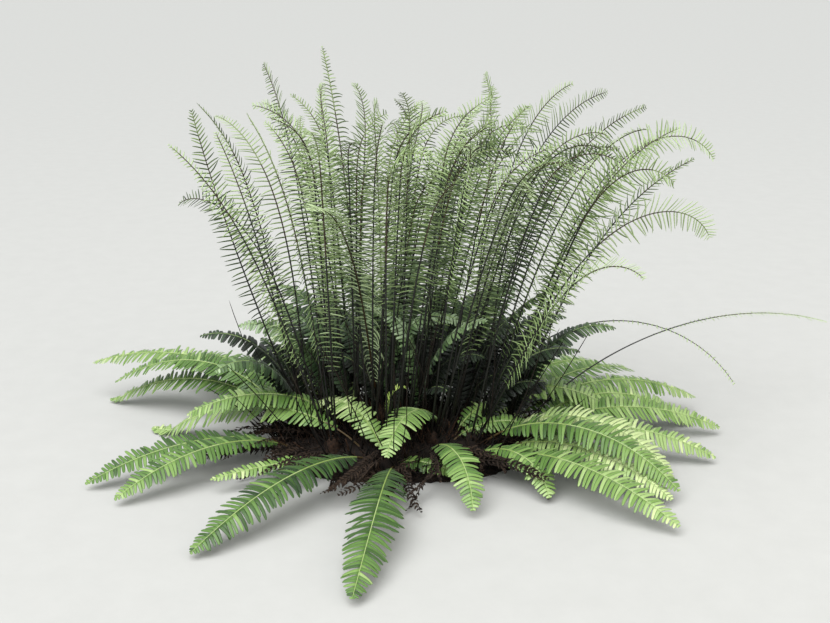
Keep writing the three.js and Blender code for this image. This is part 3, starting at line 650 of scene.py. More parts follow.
@dataclass(frozen=True)
class Stencil:
    """A small closed shape, made once and placed often: rings of corners drawn out from a foot to a tip."""

    stations: tuple[float, ...]  # shares of the length at which the rings stand, the last one being the tip
    ring: Array  # each corner's ring
    share: Array  # its place along the shape,
    across: Array  # across it
    above: Array  # and above it
    loops: Array  # the faces' corners, one face after another
    starts: Array  # where each face starts among them
    under: Array  # which faces are the flat side below
    face_share: Array  # the faces' places along the shape

    @staticmethod
    def drawn(corners: Sequence[Pair], stations: Sequence[float], girth: Sequence[float]) -> "Stencil":
        """Draws the shape out of a circle with bmesh operators and reads its corners and faces.

        Args:
            corners: a ring's corners against the clock, seen from the tip, each as a place across and above.
            stations: shares of the length at which the rings stand.
            girth: how wide each ring is. The last one is the tip and closes to a point.

        Returns:
            The shape.
        """
        shape = bmesh.new()
        ring_of = shape.verts.layers.int.new("ring")
        place_of = shape.verts.layers.int.new("place")
        first = bmesh.ops.create_circle(shape, segments=len(corners), radius=1.0)["verts"]
        for k, vert in enumerate(first):
            vert[place_of] = k
        rim = edges = shape.edges[:]
        verts = first
        for k in range(1, len(stations)):
            grown = bmesh.ops.extrude_edge_only(shape, edges=edges)["geom"]
            verts = [part for part in grown if isinstance(part, bmesh.types.BMVert)]
            edges = [part for part in grown if isinstance(part, bmesh.types.BMEdge)]
            for vert in verts:
                vert[ring_of] = k
            bmesh.ops.translate(shape, vec=(0, 0, 1), verts=verts)
        bmesh.ops.pointmerge(shape, verts=verts, merge_co=(0, 0, len(stations) - 1))
        bmesh.ops.contextual_create(shape, geom=rim)
        bmesh.ops.recalc_face_normals(shape, faces=shape.faces[:])
        shape.verts.index_update()
        ring = np.array([vert[ring_of] for vert in shape.verts])
        place = np.array([vert[place_of] for vert in shape.verts])
        loops = np.array([vert.index for face in shape.faces for vert in face.verts])
        sizes = np.array([len(face.verts) for face in shape.faces])
        shape.free()
        starts = np.concatenate([[0], np.cumsum(sizes)[:-1]])
        widths = np.array(girth)[ring]
        across = np.array([corner[0] for corner in corners])[place] * widths
        above = np.array([corner[1] for corner in corners])[place] * widths
        share = np.array(stations)[ring]
        return Stencil(
            stations=tuple(stations),
            ring=ring,
            share=share,
            across=across,
            above=above,
            loops=loops,
            starts=starts,
            under=np.add.reduceat(above[loops], starts) < 1e-6,
            face_share=np.add.reduceat(share[loops], starts) / sizes,
        )


LOWEST_CORNER = 0.6  # above the ground
GROUND_EASE = 2.0  # how softly a shape that would reach the ground is kept above it


@dataclass
class Sprays:
    """Small shapes that stand out from something, one row each. Lengths are in mm and angles in radians."""

    foot: Array
    out: Array
    across: Array
    length: Array
    half_width: Array
    half_depth: Array
    curl: Array  # bends the shape towards its across side
    droop: Array  # bends it down
    twist: Array
    tint: Array

    @staticmethod
    def joined(many: Iterable["Sprays"]) -> "Sprays":
        """Puts several sets of rows together."""
        listed = list(many)
        names = vars(listed[0])
        return Sprays(**{name: np.concatenate([getattr(one, name) for one in listed]) for name in names})

    def corners(self, stencil: Stencil, lowest: float) -> Array:
        """Places a shape at every row, bent, twisted and kept off the ground.

        Args:
            stencil: the shape.
            lowest: the least height of a shape's middle line above the ground, in mm.

        Returns:
            The corners, as rows of shapes of corners.
        """
        up = np.cross(self.out, self.across)
        turn = np.maximum(np.hypot(self.curl, self.droop), 1e-4)[:, None]
        side = (self.curl[:, None] * self.across - self.droop[:, None] * up) / turn
        rest = np.cross(self.out, side)
        angle = turn * stencil.share
        sine, cosine = np.sin(angle)[..., None], np.cos(angle)[..., None]
        out, side, rest = self.out[:, None], side[:, None], rest[:, None]
        length = self.length[:, None, None]
        middle = self.foot[:, None] + length * (sine * out + (1 - cosine) * side) / turn[..., None]
        middle[..., 2] = lowest + np.logaddexp(0, (middle[..., 2] - lowest) / GROUND_EASE) * GROUND_EASE
        bent = cosine * side - sine * out
        across = self.carried(self.across[:, None], side, rest, bent)
        above = self.carried(up[:, None], side, rest, bent)
        twist = (self.twist[:, None] * stencil.share)[..., None]
        turned = across * np.cos(twist) + above * np.sin(twist)
        risen = above * np.cos(twist) - across * np.sin(twist)
        wide = (self.half_width[:, None] * stencil.across)[..., None]
        deep = (self.half_depth[:, None] * stencil.above)[..., None]
        points = middle + wide * turned + deep * risen
        points[..., 2] = np.maximum(points[..., 2], LOWEST_CORNER)
        return points

    @staticmethod
    def carried(way: Array, side: Array, rest: Array, bent: Array) -> Array:
        """Carries a way along the bend: its part in the bend's plane turns with it."""
        return (way * side).sum(-1, keepdims=True) * bent + (way * rest).sum(-1, keepdims=True) * rest


def placed(name: str, mesh: bpy.types.Mesh, finishes: Sequence[bpy.types.Material]) -> bpy.types.Object:
    """Links a new object at the origin, with its mesh and finishes."""
    for finish in finishes:
        mesh.materials.append(finish)
    piece = bpy.data.objects.new(name, mesh)
    bpy.context.scene.collection.objects.link(piece)
    return piece


def written(name: str, shape: bmesh.types.BMesh, finish: bpy.types.Material) -> bpy.types.Object:
    """Writes a modelled shape as an object with one finish, and frees it."""
    mesh = bpy.data.meshes.new(name)
    shape.to_mesh(mesh)
    shape.free()
    return placed(name, mesh, [finish])


@dataclass
class Joined:
    """Many copies of small shapes that are written as one mesh."""

    name: str
    points: list[Array] = field(default_factory=list)
    loops: list[Array] = field(default_factory=list)
    starts: list[Array] = field(default_factory=list)
    slots: list[Array] = field(default_factory=list)
    corner_count: int = 0
    loop_count: int = 0

    def add(self, stencil: Stencil, corners: Array, slots: Array) -> None:
        """Adds copies of a shape.

        Args:
            stencil: the shape.
            corners: the copies' corners, in mm, as rows of shapes of corners.
            slots: the finish of each face, as rows of shapes of faces.
        """
        copies, size = corners.shape[:2]
        moved = self.corner_count + np.arange(copies)[:, None] * size
        begun = self.loop_count + np.arange(copies)[:, None] * len(stencil.loops)
        self.points.append(corners.reshape(-1, 3))
        self.loops.append((moved + stencil.loops).ravel())
        self.starts.append((begun + stencil.starts).ravel())
        self.slots.append(np.broadcast_to(slots, (copies, len(stencil.starts))).ravel())
        self.corner_count += copies * size
        self.loop_count += copies * len(stencil.loops)

    def write(self, finishes: Sequence[bpy.types.Material]) -> bpy.types.Object:
        """Writes the mesh, in metres, and links its object to the scene.

        Args:
            finishes: the materials, in the order that the slots count them.

        Returns:
            The new object, at the origin.
        """
        mesh = bpy.data.meshes.new(self.name)
        points = np.concatenate(self.points) * MM
        loops = np.concatenate(self.loops)
        starts = np.concatenate(self.starts)
        mesh.vertices.add(len(points))
        mesh.vertices.foreach_set("co", points.astype(np.float32).ravel())
        mesh.loops.add(len(loops))
        mesh.loops.foreach_set("vertex_index", loops.astype(np.int32))
        mesh.polygons.add(len(starts))
        mesh.polygons.foreach_set("loop_start", starts.astype(np.int32))
        mesh.polygons.foreach_set("material_index", np.concatenate(self.slots).astype(np.int32))
        mesh.polygons.foreach_set("use_smooth", np.ones(len(starts), dtype=bool))
        mesh.update(calc_edges=True)
        mesh.validate()
        return placed(self.name, mesh, finishes)


def report(piece: bpy.types.Object, nodes: Iterable[str] = ()) -> None:
    """Makes a piece ride on the plant, hides the nodes that it stands for, and logs its size."""
    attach(piece, "root")
    stood_for = list(nodes)
    if stood_for:
        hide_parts(*stood_for)
    triangles = len(piece.data.loops) - 2 * len(piece.data.polygons)
    log.info("%s: %d triangles, stands for %d nodes", piece.name, triangles, len(stood_for))


def linear(code: str) -> tuple[float, float, float, float]:
    """Turns an sRGB hex colour to linear."""
    red, green, blue = (
        part / 12.92 if part <= 0.04045 else ((part + 0.055) / 1.055) ** 2.4
        for part in (int(code[k : k + 2], 16) / 255 for k in (1, 3, 5))
    )
    return red, green, blue, 1.0


def add_node(tree: bpy.types.NodeTree, kind: str, settings: dict, links: dict) -> bpy.types.Node:
    """Adds one node.

    Args:
        tree: the material's node tree.
        kind: the end of the node's type name.
        settings: values for its sockets, and for its own options, which have a dot before the name.
        links: for each input socket, the output socket that feeds it.

    Returns:
        The new node.
    """
    node = tree.nodes.new(f"ShaderNode{kind}")
    for name, value in settings.items():
        if str(name).startswith("."):
            setattr(node, name[1:], value)
        else:
            node.inputs[name].default_value = value
    for name, source in links.items():
        tree.links.new(source, node.inputs[name])
    return node


@dataclass(frozen=True)
class Grain:
    """A fine relief on a surface: the size of its grain and how deep it stands, in mm."""

    size: float
    depth: float


def pattern(tree: bpy.types.NodeTree, size: float, detail: float, rough: float = 0.5) -> bpy.types.NodeSocket:
    """Adds an uneven pattern over the plant's own coordinates.

    Args:
        tree: the material's node tree.
        size: the size of its patches, in mm.
        detail: how many finer patterns it has in it.
        rough: how strong these are.

    Returns:
        The socket that gives the pattern.
    """
    place = add_node(tree, "TexCoord", {}, {}).outputs["Object"]
    settings = {"Scale": 1 / (size * MM), "Detail": detail, "Roughness": rough}
    return add_node(tree, "TexNoise", settings, {"Vector": place}).outputs["Fac"]


def surface(name: str, grain: Grain, fineness: float, look: Look) -> bpy.types.Material:
    """Makes a material with a fine relief.

    Args:
        name: its name.
        grain: its relief.
        fineness: how many finer patterns the relief has in it.
        look: adds the nodes of its colour and roughness, and gives the shader's settings and links.

    Returns:
        The material.
    """
    material = bpy.data.materials.new(name)
    material.use_nodes = True
    tree = material.node_tree
    tree.nodes.clear()
    settings, links = look(tree)
    height = {"Height": pattern(tree, grain.size, fineness)}
    relief = add_node(tree, "Bump", {"Strength": 1.0, "Distance": grain.depth * MM}, height)
    shader = add_node(tree, "BsdfPrincipled", settings, links | {"Normal": relief.outputs["Normal"]})
    add_node(tree, "OutputMaterial", {}, {"Surface": shader.outputs["BSDF"]})
    return material


@dataclass(frozen=True)
class LivingSkin:
    """The skin of a living leaf or stalk: one plain tint, with a roughness that varies and a fine relief.

    Its colour is plain because tints are dealt out by spray, which keeps their places in the export.
    """

    name: str
    tint: str
    gloss: Pair  # roughness where the skin is smoothest and dullest
    patch: float  # size of the patches in which the roughness varies, in mm
    grain: Grain
    sheen: float = 0.0

    def make(self) -> bpy.types.Material:
        """Makes the material."""
        return surface(self.name, self.grain, 2.0, self.look)

    def look(self, tree: bpy.types.NodeTree) -> tuple[dict, dict]:
        """Gives the shader's settings, and the roughness that patches vary."""
        ends = {"From Min": 0.3, "From Max": 0.7, "To Min": self.gloss[0], "To Max": self.gloss[1]}
        dull = add_node(tree, "MapRange", ends, {"Value": pattern(tree, self.patch, 3.0)})
        settings = {"Base Color": linear(self.tint), "Sheen Weight": self.sheen, "Sheen Roughness": 0.4}
        return settings, {"Roughness": dull.outputs["Result"]}


@dataclass(frozen=True)
class FibrousSkin:
    """A matted or dead surface in two colours, mixed by a coarse pattern, with a rough relief."""

    name: str
    dark: str
    light: str
    patch: float  # size of the pattern, in mm
    grain: Grain
    roughness: float = 0.92

    def make(self) -> bpy.types.Material:
        """Makes the material."""
        return surface(self.name, self.grain, 4.0, self.look)

    def look(self, tree: bpy.types.NodeTree) -> tuple[dict, dict]:
        """Gives the shader's settings, and the colour that the pattern mixes."""
        coarse = {"Value": pattern(tree, self.patch, 6.0, 0.65)}
        share = add_node(tree, "MapRange", {"From Min": 0.35, "From Max": 0.68}, coarse)
        colours = {".data_type": "RGBA", 6: linear(self.dark), 7: linear(self.light)}
        colour = add_node(tree, "Mix", colours, {"Factor": share.outputs["Result"]})
        return {"Roughness": self.roughness, "Specular IOR Level": 0.3}, {"Base Color": colour.outputs[2]}


def fibrous_skins(patch: float, grain: Grain, *rows: tuple[str, str, str]) -> list[bpy.types.Material]:
    """Makes finishes that share a pattern and a relief, from rows of a name and two colours."""
    return [FibrousSkin(*row, patch, grain).make() for row in rows]


# Fern leaf, waxy above: pale blue-green on the tall fronds, which the light turns nearly white along their
# edges. The tints run from dark ones inside the clump, which are painted shade, to pale ones at the tips,
# which are partly the leaf's own bloom and partly painted light.
TALL_UPPER = ("#213012", "#3c5026", "#5a703b", "#7b9256", "#9bb275", "#bdd19c")
# Below they are greyer, with the rolled edges and brown spore lines of a fertile leaflet
TALL_UNDER = ("#45582f", "#768a55", "#a8bb88")
# Fern leaf, leathery above: fresh mid green on the broad fronds
BROAD_UPPER = ("#223d15", "#3b5a23", "#587a36", "#76964c", "#98b26c", "#bfd090")
# The broad fronds among the stalks are darker, as painted shade, and only their arching ends, out in the
# light, are pale
INNER_UPPER_PAINTED_SHADE = ("#121b0e", "#1d2c17", "#2e4325", "#4b6339", "#76905f", "#a0b68c")
# The under sides of both are duller and a little paler, and those among the stalks are darkened as painted
# shade as well
BROAD_UNDER = ("#557547", "#7d9a66")
INNER_UNDER_PAINTED_SHADE = ("#273a20", "#546f45")
# Last year's fronds are shrivelled and dark brown, darkened to nearly black as painted shade round the foot,
# and a young one is a bright yellow-green
DEAD_TINTS = ("#130e0b", "#211812", "#372a1f")
YOUNG_TINTS = ("#8aa84a", "#a8c25c", "#bcd06e")


def leaf_skins(word: str, tints: Sequence[str], gloss: Pair) -> list[bpy.types.Material]:
    """Makes one skin for each tint."""
    return [
        LivingSkin(f"fern_leaf_{word}_tint_{k + 1}", tint, gloss, 14.0, Grain(1.6, 0.12), 0.1).make()
        for k, tint in enumerate(tints)
    ]


def ring_corners(count: int) -> tuple[Pair, ...]:
    """Gives the corners of a round ring."""
    turns = [2 * math.pi * k / count for k in range(count)]
    return tuple((math.cos(turn), math.sin(turn)) for turn in turns)


@dataclass(frozen=True)
class Outline:
    """What a leaflet is drawn from: a ring's corners, and where the rings stand and how wide each is."""

    corners: tuple[Pair, ...]
    stations: tuple[float, ...]
    girth: tuple[float, ...]


# Seen end on, a broad leaflet has a raised half on either side of its sunken middle line, and is flat below
BROAD_LEAFLET = Outline(
    ((1.0, 0.0), (0.55, 1.0), (0.0, 0.15), (-0.55, 1.0), (-1.0, 0.0)),
    (0.0, 0.2, 0.42, 0.64, 0.82, 0.94, 1.0),
    (0.58, 0.48, 0.43, 0.4, 0.345, 0.23, 0.0),
)
# A tall frond's leaflet is a narrow ridge, flat below, and a dead one is shrivelled to a strip
RIDGE = ((1.0, 0.0), (0.0, 1.0), (-1.0, 0.0))
TALL_LEAFLET = Outline(RIDGE, (0.0, 0.12, 0.36, 0.6, 0.8, 0.93, 1.0), (0.75, 1.0, 1.0, 0.88, 0.68, 0.4, 0.0))
DEAD_LEAFLET = Outline(RIDGE, (0.0, 0.3, 0.6, 0.85, 1.0), (0.5, 1.0, 0.8, 0.5, 0.0))
FEWEST_PAIRS = 6  # of leaflets on a frond
SHORTEST = 1.5  # the least length of a leaflet
NARROWING = (0.7, 0.3)  # the share of its width that a very short leaflet has, and what its length adds
THINNING = (0.6, 0.4)  # the same for its thickness
SHORT_BELOW = 0.6  # leaflets below this share of the longest one bend less
LEAST_BEND = 0.35
HOOK_DROOP = 0.35  # how far those that bend back also droop, as a share
TAIL_FROM = 0.74  # where the last part of a blade starts, in which leaflets may be shorter
TAIL_OVER = 0.1  # how soon they all are
LOW_PART = 0.62  # the part of a blade in which leaflets bend back
LOW_EASE = 1.2
FORMED_HIGH = 0.12  # how far they do so above it on a frond with a form of its own, as a share
FORMED_RIB = (0.12, 0.94)  # where its rib changes colour
CLEAR_OF_GROUND = 3.0  # how high a leaflet's middle line is kept
LOWEST_RIB = 1.0  # how high a rib's surface is kept


@dataclass(frozen=True)
class Strays:
    """How far a leaflet strays from its neighbours, and a frond from its kind. Angles are in degrees."""

    place: float = 0.0012  # a share of the rib
    length: float = 0.06  # a share of the length
    sweep: float = 3.5
    lift: float = 5.0
    bend: float = 0.4  # a share of the blade's spreads
    wind: float = 0.5  # the same for a whole frond
    frond: float = 0.6
    formed: float = 0.2  # how much of this is left on a frond with a form of its own


@dataclass
class Foliage:
    """Leaflets on fronds of one kind, and the ribs that carry them."""

    word: str
    leaflet: Outline
    upper: Sequence[str]
    under: Sequence[str]
    painted_shade_ramp: Pair  # the tint at a frond's foot and tip: the darker end at the foot is painted shade low in the clump
    gloss: Pair = (0.3, 0.5)  # roughness where the upper side is smoothest and dullest
    under_gloss: Pair = (0.5, 0.7)
    depth: float = 0.7  # half the leaflet's thickness, in mm
    narrow: float = 0.0  # half width of a leaflet in mm, or 0 where it is as wide as the spacing
    mottle: Pair = (0.6, 0.5)  # how far tints differ from frond to frond and from leaflet to leaflet
    second_from: Pair = (0.5, 0.78)  # where a rib's second colour starts, least and most
    third_after: Pair = (0.12, 0.2)  # how much further on its third does
    rib_rings: int = 56
    strays: Strays = Strays()

    def __post_init__(self) -> None:
        """Draws the leaflet, and the rib: round, and closed to a point at its tip."""
        self.stencil = Stencil.drawn(self.leaflet.corners, self.leaflet.stations, self.leaflet.girth)
        stations = [k / self.rib_rings for k in range(self.rib_rings + 1)]
        self.rib_stencil = Stencil.drawn(ring_corners(6), stations, [1.0] * self.rib_rings + [0.0])

    def skins(self) -> list[bpy.types.Material]:
        """Makes the leaflets' finishes, first those above and then those below."""
        upper = leaf_skins(f"{self.word}_upper", self.upper, self.gloss)
        return upper + leaf_skins(f"{self.word}_under", self.under, self.under_gloss)

    def leaflets(self, frond: Frond, rng: np.random.Generator) -> Sprays:
        """Sets the leaflets along both edges of a frond.

        Args:
            frond: the frond, with its rib laid.
            rng: seeded numbers.

        Returns:
            The leaflets, two at each place along the rib.
        """
        blade = BLADES[frond.kind]
        bare = frond.bare or blade.stipe[0] + rng.uniform(-1, 1) * blade.stipe[1]
        length = frond.length * (1 - bare)
        pairs = max(FEWEST_PAIRS, round(length / blade.pitch))
        order = (np.arange(pairs) + 0.5) / pairs
        shares = np.repeat(1 - (1 - order) ** blade.crowding, 2)
        pitch = length / pairs * blade.crowding * (1 - np.repeat(order, 2)) ** (blade.crowding - 1)
        side = np.tile([1.0, -1.0], pairs)
        count = len(shares)
        moved, longer, swept, lifted, curled, drooped, tinted, twisted = rng.normal(0, 1, (8, count))
        stray = self.strays
        u = bare + (1 - bare) * np.clip(shares + moved * stray.place, 0, 1)
        luck = stray.formed if frond.hook else 1.0
        axes = Axes.on(frond, u, luck * rng.normal(0, stray.wind) * blade.wind)
        fall = blade.rise * (1 - blade.peak) / blade.peak
        full = (shares / blade.peak) ** blade.rise * ((1 - shares) / (1 - blade.peak)) ** fall
        kept = blade.tail[0] + rng.uniform(-1, 1) * blade.tail[1]
        tail = 1 - (1 - kept) * np.clip((shares - TAIL_FROM) / TAIL_OVER, 0, 1)
        reach = np.maximum(frond.width * frond.stretch * full * tail * (1 + longer * stray.length), SHORTEST)
        sweep, curl, droop, hook = (
            pair[0] + luck * rng.normal(0, stray.frond) * pair[1]
            for pair in (blade.sweep, blade.curl, blade.droop, blade.hook)
        )
        sweep = np.radians(sweep + blade.tip_sweep * shares**2 + swept * stray.sweep)[:, None]
        lift = np.radians(blade.lift + lifted * stray.lift)[:, None]
        sided = side[:, None]
        out = axes.left * sided * np.cos(sweep) * np.cos(lift)
        out = out + axes.along * np.sin(sweep) * np.cos(lift) + axes.up * np.sin(lift)
        across = -sided * unit(axes.along - out * (axes.along * out).sum(-1, keepdims=True))
        narrow = np.full(count, self.narrow) * (NARROWING[0] + NARROWING[1] * full)
        wide = narrow if self.narrow else pitch * np.cos(sweep[:, 0])
        low = np.clip(1 - shares / LOW_PART, 0, 1) ** LOW_EASE
        back = hook * low + frond.hook * (FORMED_HIGH + (1 - FORMED_HIGH) * low) * (1 - shares**4)
        short = np.clip(reach / (SHORT_BELOW * frond.width), LEAST_BEND, 1)
        curl = np.radians(curl - back + curled * blade.curl[1] * stray.bend) * short
        droop = np.radians(droop + HOOK_DROOP * hook * low + drooped * blade.droop[1] * stray.bend) * short
        tone = frond.tone + luck * rng.normal(0, self.mottle[0])
        # The tint darkens towards the foot of the blade: painted shade low in the clump
        tint = self.painted_shade_ramp[0] + (self.painted_shade_ramp[1] - self.painted_shade_ramp[0]) * shares + tone + tinted * self.mottle[1]
        return Sprays(
            foot=axes.point,
            out=out,
            across=across,
            length=reach,
            half_width=wide * frond.girth,
            half_depth=np.full(count, self.depth) * (THINNING[0] + THINNING[1] * full),
            curl=-side * curl,
            droop=droop,
            twist=np.radians(twisted * blade.twist),
            tint=np.clip(np.round(tint), 0, len(self.upper) - 1).astype(int),
        )

    def add_leaflets(self, piece: Joined, fronds: Sequence[Frond], rng: np.random.Generator) -> Joined:
        """Adds the leaflets of several fronds to a piece, and gives it back."""
        rows = Sprays.joined(self.leaflets(frond, rng) for frond in fronds)
        shades = len(self.under)
        # The under sides follow the same tints, painted shade included
        shade = len(self.upper) + np.clip(rows.tint * shades // len(self.upper), 0, shades - 1)
        slots = np.where(self.stencil.under[None], shade[:, None], rows.tint[:, None])
        piece.add(self.stencil, rows.corners(self.stencil, CLEAR_OF_GROUND), slots)
        return piece

    def add_ribs(self, piece: Joined, fronds: Sequence[Frond], rng: np.random.Generator) -> Joined:
        """Adds the ribs of several fronds to a piece, in three colours, and gives it back."""
        stencil = self.rib_stencil
        shares = np.array(stencil.stations)
        for frond in fronds:
            blade = BLADES[frond.kind]
            axes = Axes.on(frond, shares)
            radius = (blade.rib[0] + (blade.rib[1] - blade.rib[0]) * shares)[stencil.ring][:, None]
            across = radius * stencil.across[:, None] * axes.left[stencil.ring]
            above = radius * stencil.above[:, None] * axes.up[stencil.ring]
            corners = axes.point[stencil.ring] + across + above
            corners[:, 2] = np.maximum(corners[:, 2], LOWEST_RIB)
            second = float(rng.uniform(*self.second_from))
            third = second + float(rng.uniform(*self.third_after))
            if frond.hook:
                second, third = FORMED_RIB
            slots = (stencil.face_share > second).astype(int) + (stencil.face_share > third)
            piece.add(stencil, corners[None], slots[None])
        return piece


# How the foliage of each kind is set up. Calling one draws its leaflet and rib.
TALL_FOLIAGE = partial(
    Foliage, "tall", TALL_LEAFLET, TALL_UPPER, TALL_UNDER, (1.7, 4.0), gloss=(0.32, 0.52),
    under_gloss=(0.6, 0.8), narrow=1.3, mottle=(1.1, 0.8), second_from=(0.55, 0.85), third_after=(0.2, 0.3),
)
BROAD_FOLIAGE = partial(
    Foliage, "broad", BROAD_LEAFLET, BROAD_UPPER, BROAD_UNDER, (1.9, 3.7), second_from=(0.06, 0.2),
    third_after=(0.3, 0.4),
)
# The inner fronds' tints run from deep painted shade at the foot to pale at their arching ends
INNER_FOLIAGE = partial(
    Foliage, "inner", BROAD_LEAFLET, INNER_UPPER_PAINTED_SHADE, INNER_UNDER_PAINTED_SHADE, (0.6, 4.4), gloss=(0.34, 0.55),
    second_from=(0.35, 0.5), third_after=(0.25, 0.35),
)
DEAD_FOLIAGE = partial(
    Foliage, "dead", DEAD_LEAFLET, DEAD_TINTS, DEAD_TINTS[:1], (0.8, 1.2), depth=0.5, narrow=2.4,
    rib_rings=24,
)
YOUNG_FOLIAGE = partial(
    Foliage, "young", BROAD_LEAFLET, YOUNG_TINTS, YOUNG_TINTS[:1], (0.5, 1.5), depth=0.6,
)


@dataclass
class TallFronds:
    """The tall fronds of the tufts, in groups of tufts, with their stalks."""

    clump: Clump
    groups: tuple[tuple[int, int], ...] = ((0, 6), (6, 12), (12, 17), (17, 22))
    seed: int = 21

    def build(self) -> None:
        """Builds the leaflets group by group, then the stalks and the trailing fronds."""
        foliage = TALL_FOLIAGE()
        skins, stalks = foliage.skins(), self.stalk_skins()
        rng = np.random.default_rng(self.seed)
        tall, trailing = self.clump.of_kind(FrondKind.TALL), self.clump.of_kind(FrondKind.TRAILING)
        for first, last in self.groups:
            piece = Joined(f"tall_leaflets_{first + 1:02d}_to_{last:02d}")
            foliage.add_leaflets(piece, [frond for frond in tall if first <= frond.tuft < last], rng)
            report(piece.write(skins), [f"tuft_{k + 1:02d}" for k in range(first, last)])
        piece = foliage.add_ribs(Joined("tall_stalks"), tall, rng)
        report(piece.write(stalks))
        piece = foliage.add_leaflets(Joined("trailing_leaflets"), trailing, rng)
        nodes = [f"trailing_frond_{k + 1:02d}" for k in range(len(trailing))]
        report(piece.write(skins), nodes)
        piece = foliage.add_ribs(Joined("trailing_stalks"), trailing, rng)
        report(piece.write(stalks))

    @staticmethod
    def stalk_skins() -> list[bpy.types.Material]:
        """Makes the stalks' finishes: polished purple-black at the foot, then brown, then green."""
        return [
            LivingSkin(f"fern_stalk_{word}", tint, gloss, 9.0, Grain(1.2, 0.1)).make()
            for word, tint, gloss in (
                ("polished_dark", "#0d0b08", (0.3, 0.5)),
                ("polished_brown", "#34220f", (0.3, 0.5)),
                ("green", "#7c8a57", (0.4, 0.55)),
            )
        ]


@dataclass
class BroadFronds:
    """The rosette's broad fronds, those that stand up among the tall ones, and the dead and young ones."""

    clump: Clump
    groups: tuple[tuple[str, int, int], ...] = (
        ("front", 0, 14),
        ("right", 14, 26),
        ("far", 26, 35),
        ("small", 35, 38),
    )
    packed: int = 35  # fronds that have a node of their own
    seed: int = 22

    def build(self) -> None:
        """Builds the leaflets group by group, then the midribs, and the dead and young fronds."""
        foliage, inner = BROAD_FOLIAGE(), INNER_FOLIAGE()
        skins = foliage.skins()
        rng = np.random.default_rng(self.seed)
        broad, among = self.clump.of_kind(FrondKind.BROAD), self.clump.of_kind(FrondKind.INNER)
        for word, first, last in self.groups:
            piece = foliage.add_leaflets(Joined(f"rosette_leaflets_{word}"), broad[first:last], rng)
            nodes = [f"rosette_frond_{k + 1:02d}" for k in range(first, min(last, self.packed))]
            report(piece.write(skins), nodes)
        piece = inner.add_leaflets(Joined("inner_leaflets"), among, rng)
        report(piece.write(inner.skins()))
        piece = foliage.add_ribs(Joined("broad_midribs"), broad, rng)
        report(piece.write(self.midrib_skins("", ("#5b4a2c", "#8ea45a", "#a5b878"))))
        # The midribs among the stalks are darker: painted shade
        piece = inner.add_ribs(Joined("inner_midribs"), among, rng)
        report(piece.write(self.midrib_skins("shaded_", ("#1d160f", "#3f4d2b", "#8a9f5f"))))
        # The dead leaf's own brown, darkened to nearly black as painted shade
        withered = [
            FibrousSkin(f"dead_fern_leaf_shrivelled_{k + 1}", tint, DEAD_TINTS[-1], 9, Grain(2.2, 0.5)).make()
            for k, tint in enumerate(DEAD_TINTS)
        ]
        fresh = leaf_skins("young", YOUNG_TINTS, (0.4, 0.6))
        for name, kind, whole, skins, slot in (
            ("dead_fronds", FrondKind.DEAD, DEAD_FOLIAGE(), withered, "rootstock"),
            ("young_fronds", FrondKind.YOUNG, YOUNG_FOLIAGE(), fresh, "broad_fronds"),
        ):
            fronds = self.clump.of_kind(kind)
            piece = whole.add_ribs(whole.add_leaflets(Joined(name), fronds, rng), fronds, rng)
            report(piece.write(skins + skins[:1]))

    @staticmethod
    def midrib_skins(word: str, tints: Sequence[str]) -> list[bpy.types.Material]:
        """Makes the midribs' finishes: brown at the foot, then yellow-green, then a pale green that is partly
        the rib's own and partly painted light where it is out in the light.
        """
        return [
            LivingSkin(f"fern_midrib_{word}{part}", tint, (0.35, 0.5), 9.0, Grain(1.2, 0.08)).make()
            for part, tint in zip(("brown", "yellow_green", "pale_green"), tints)
        ]


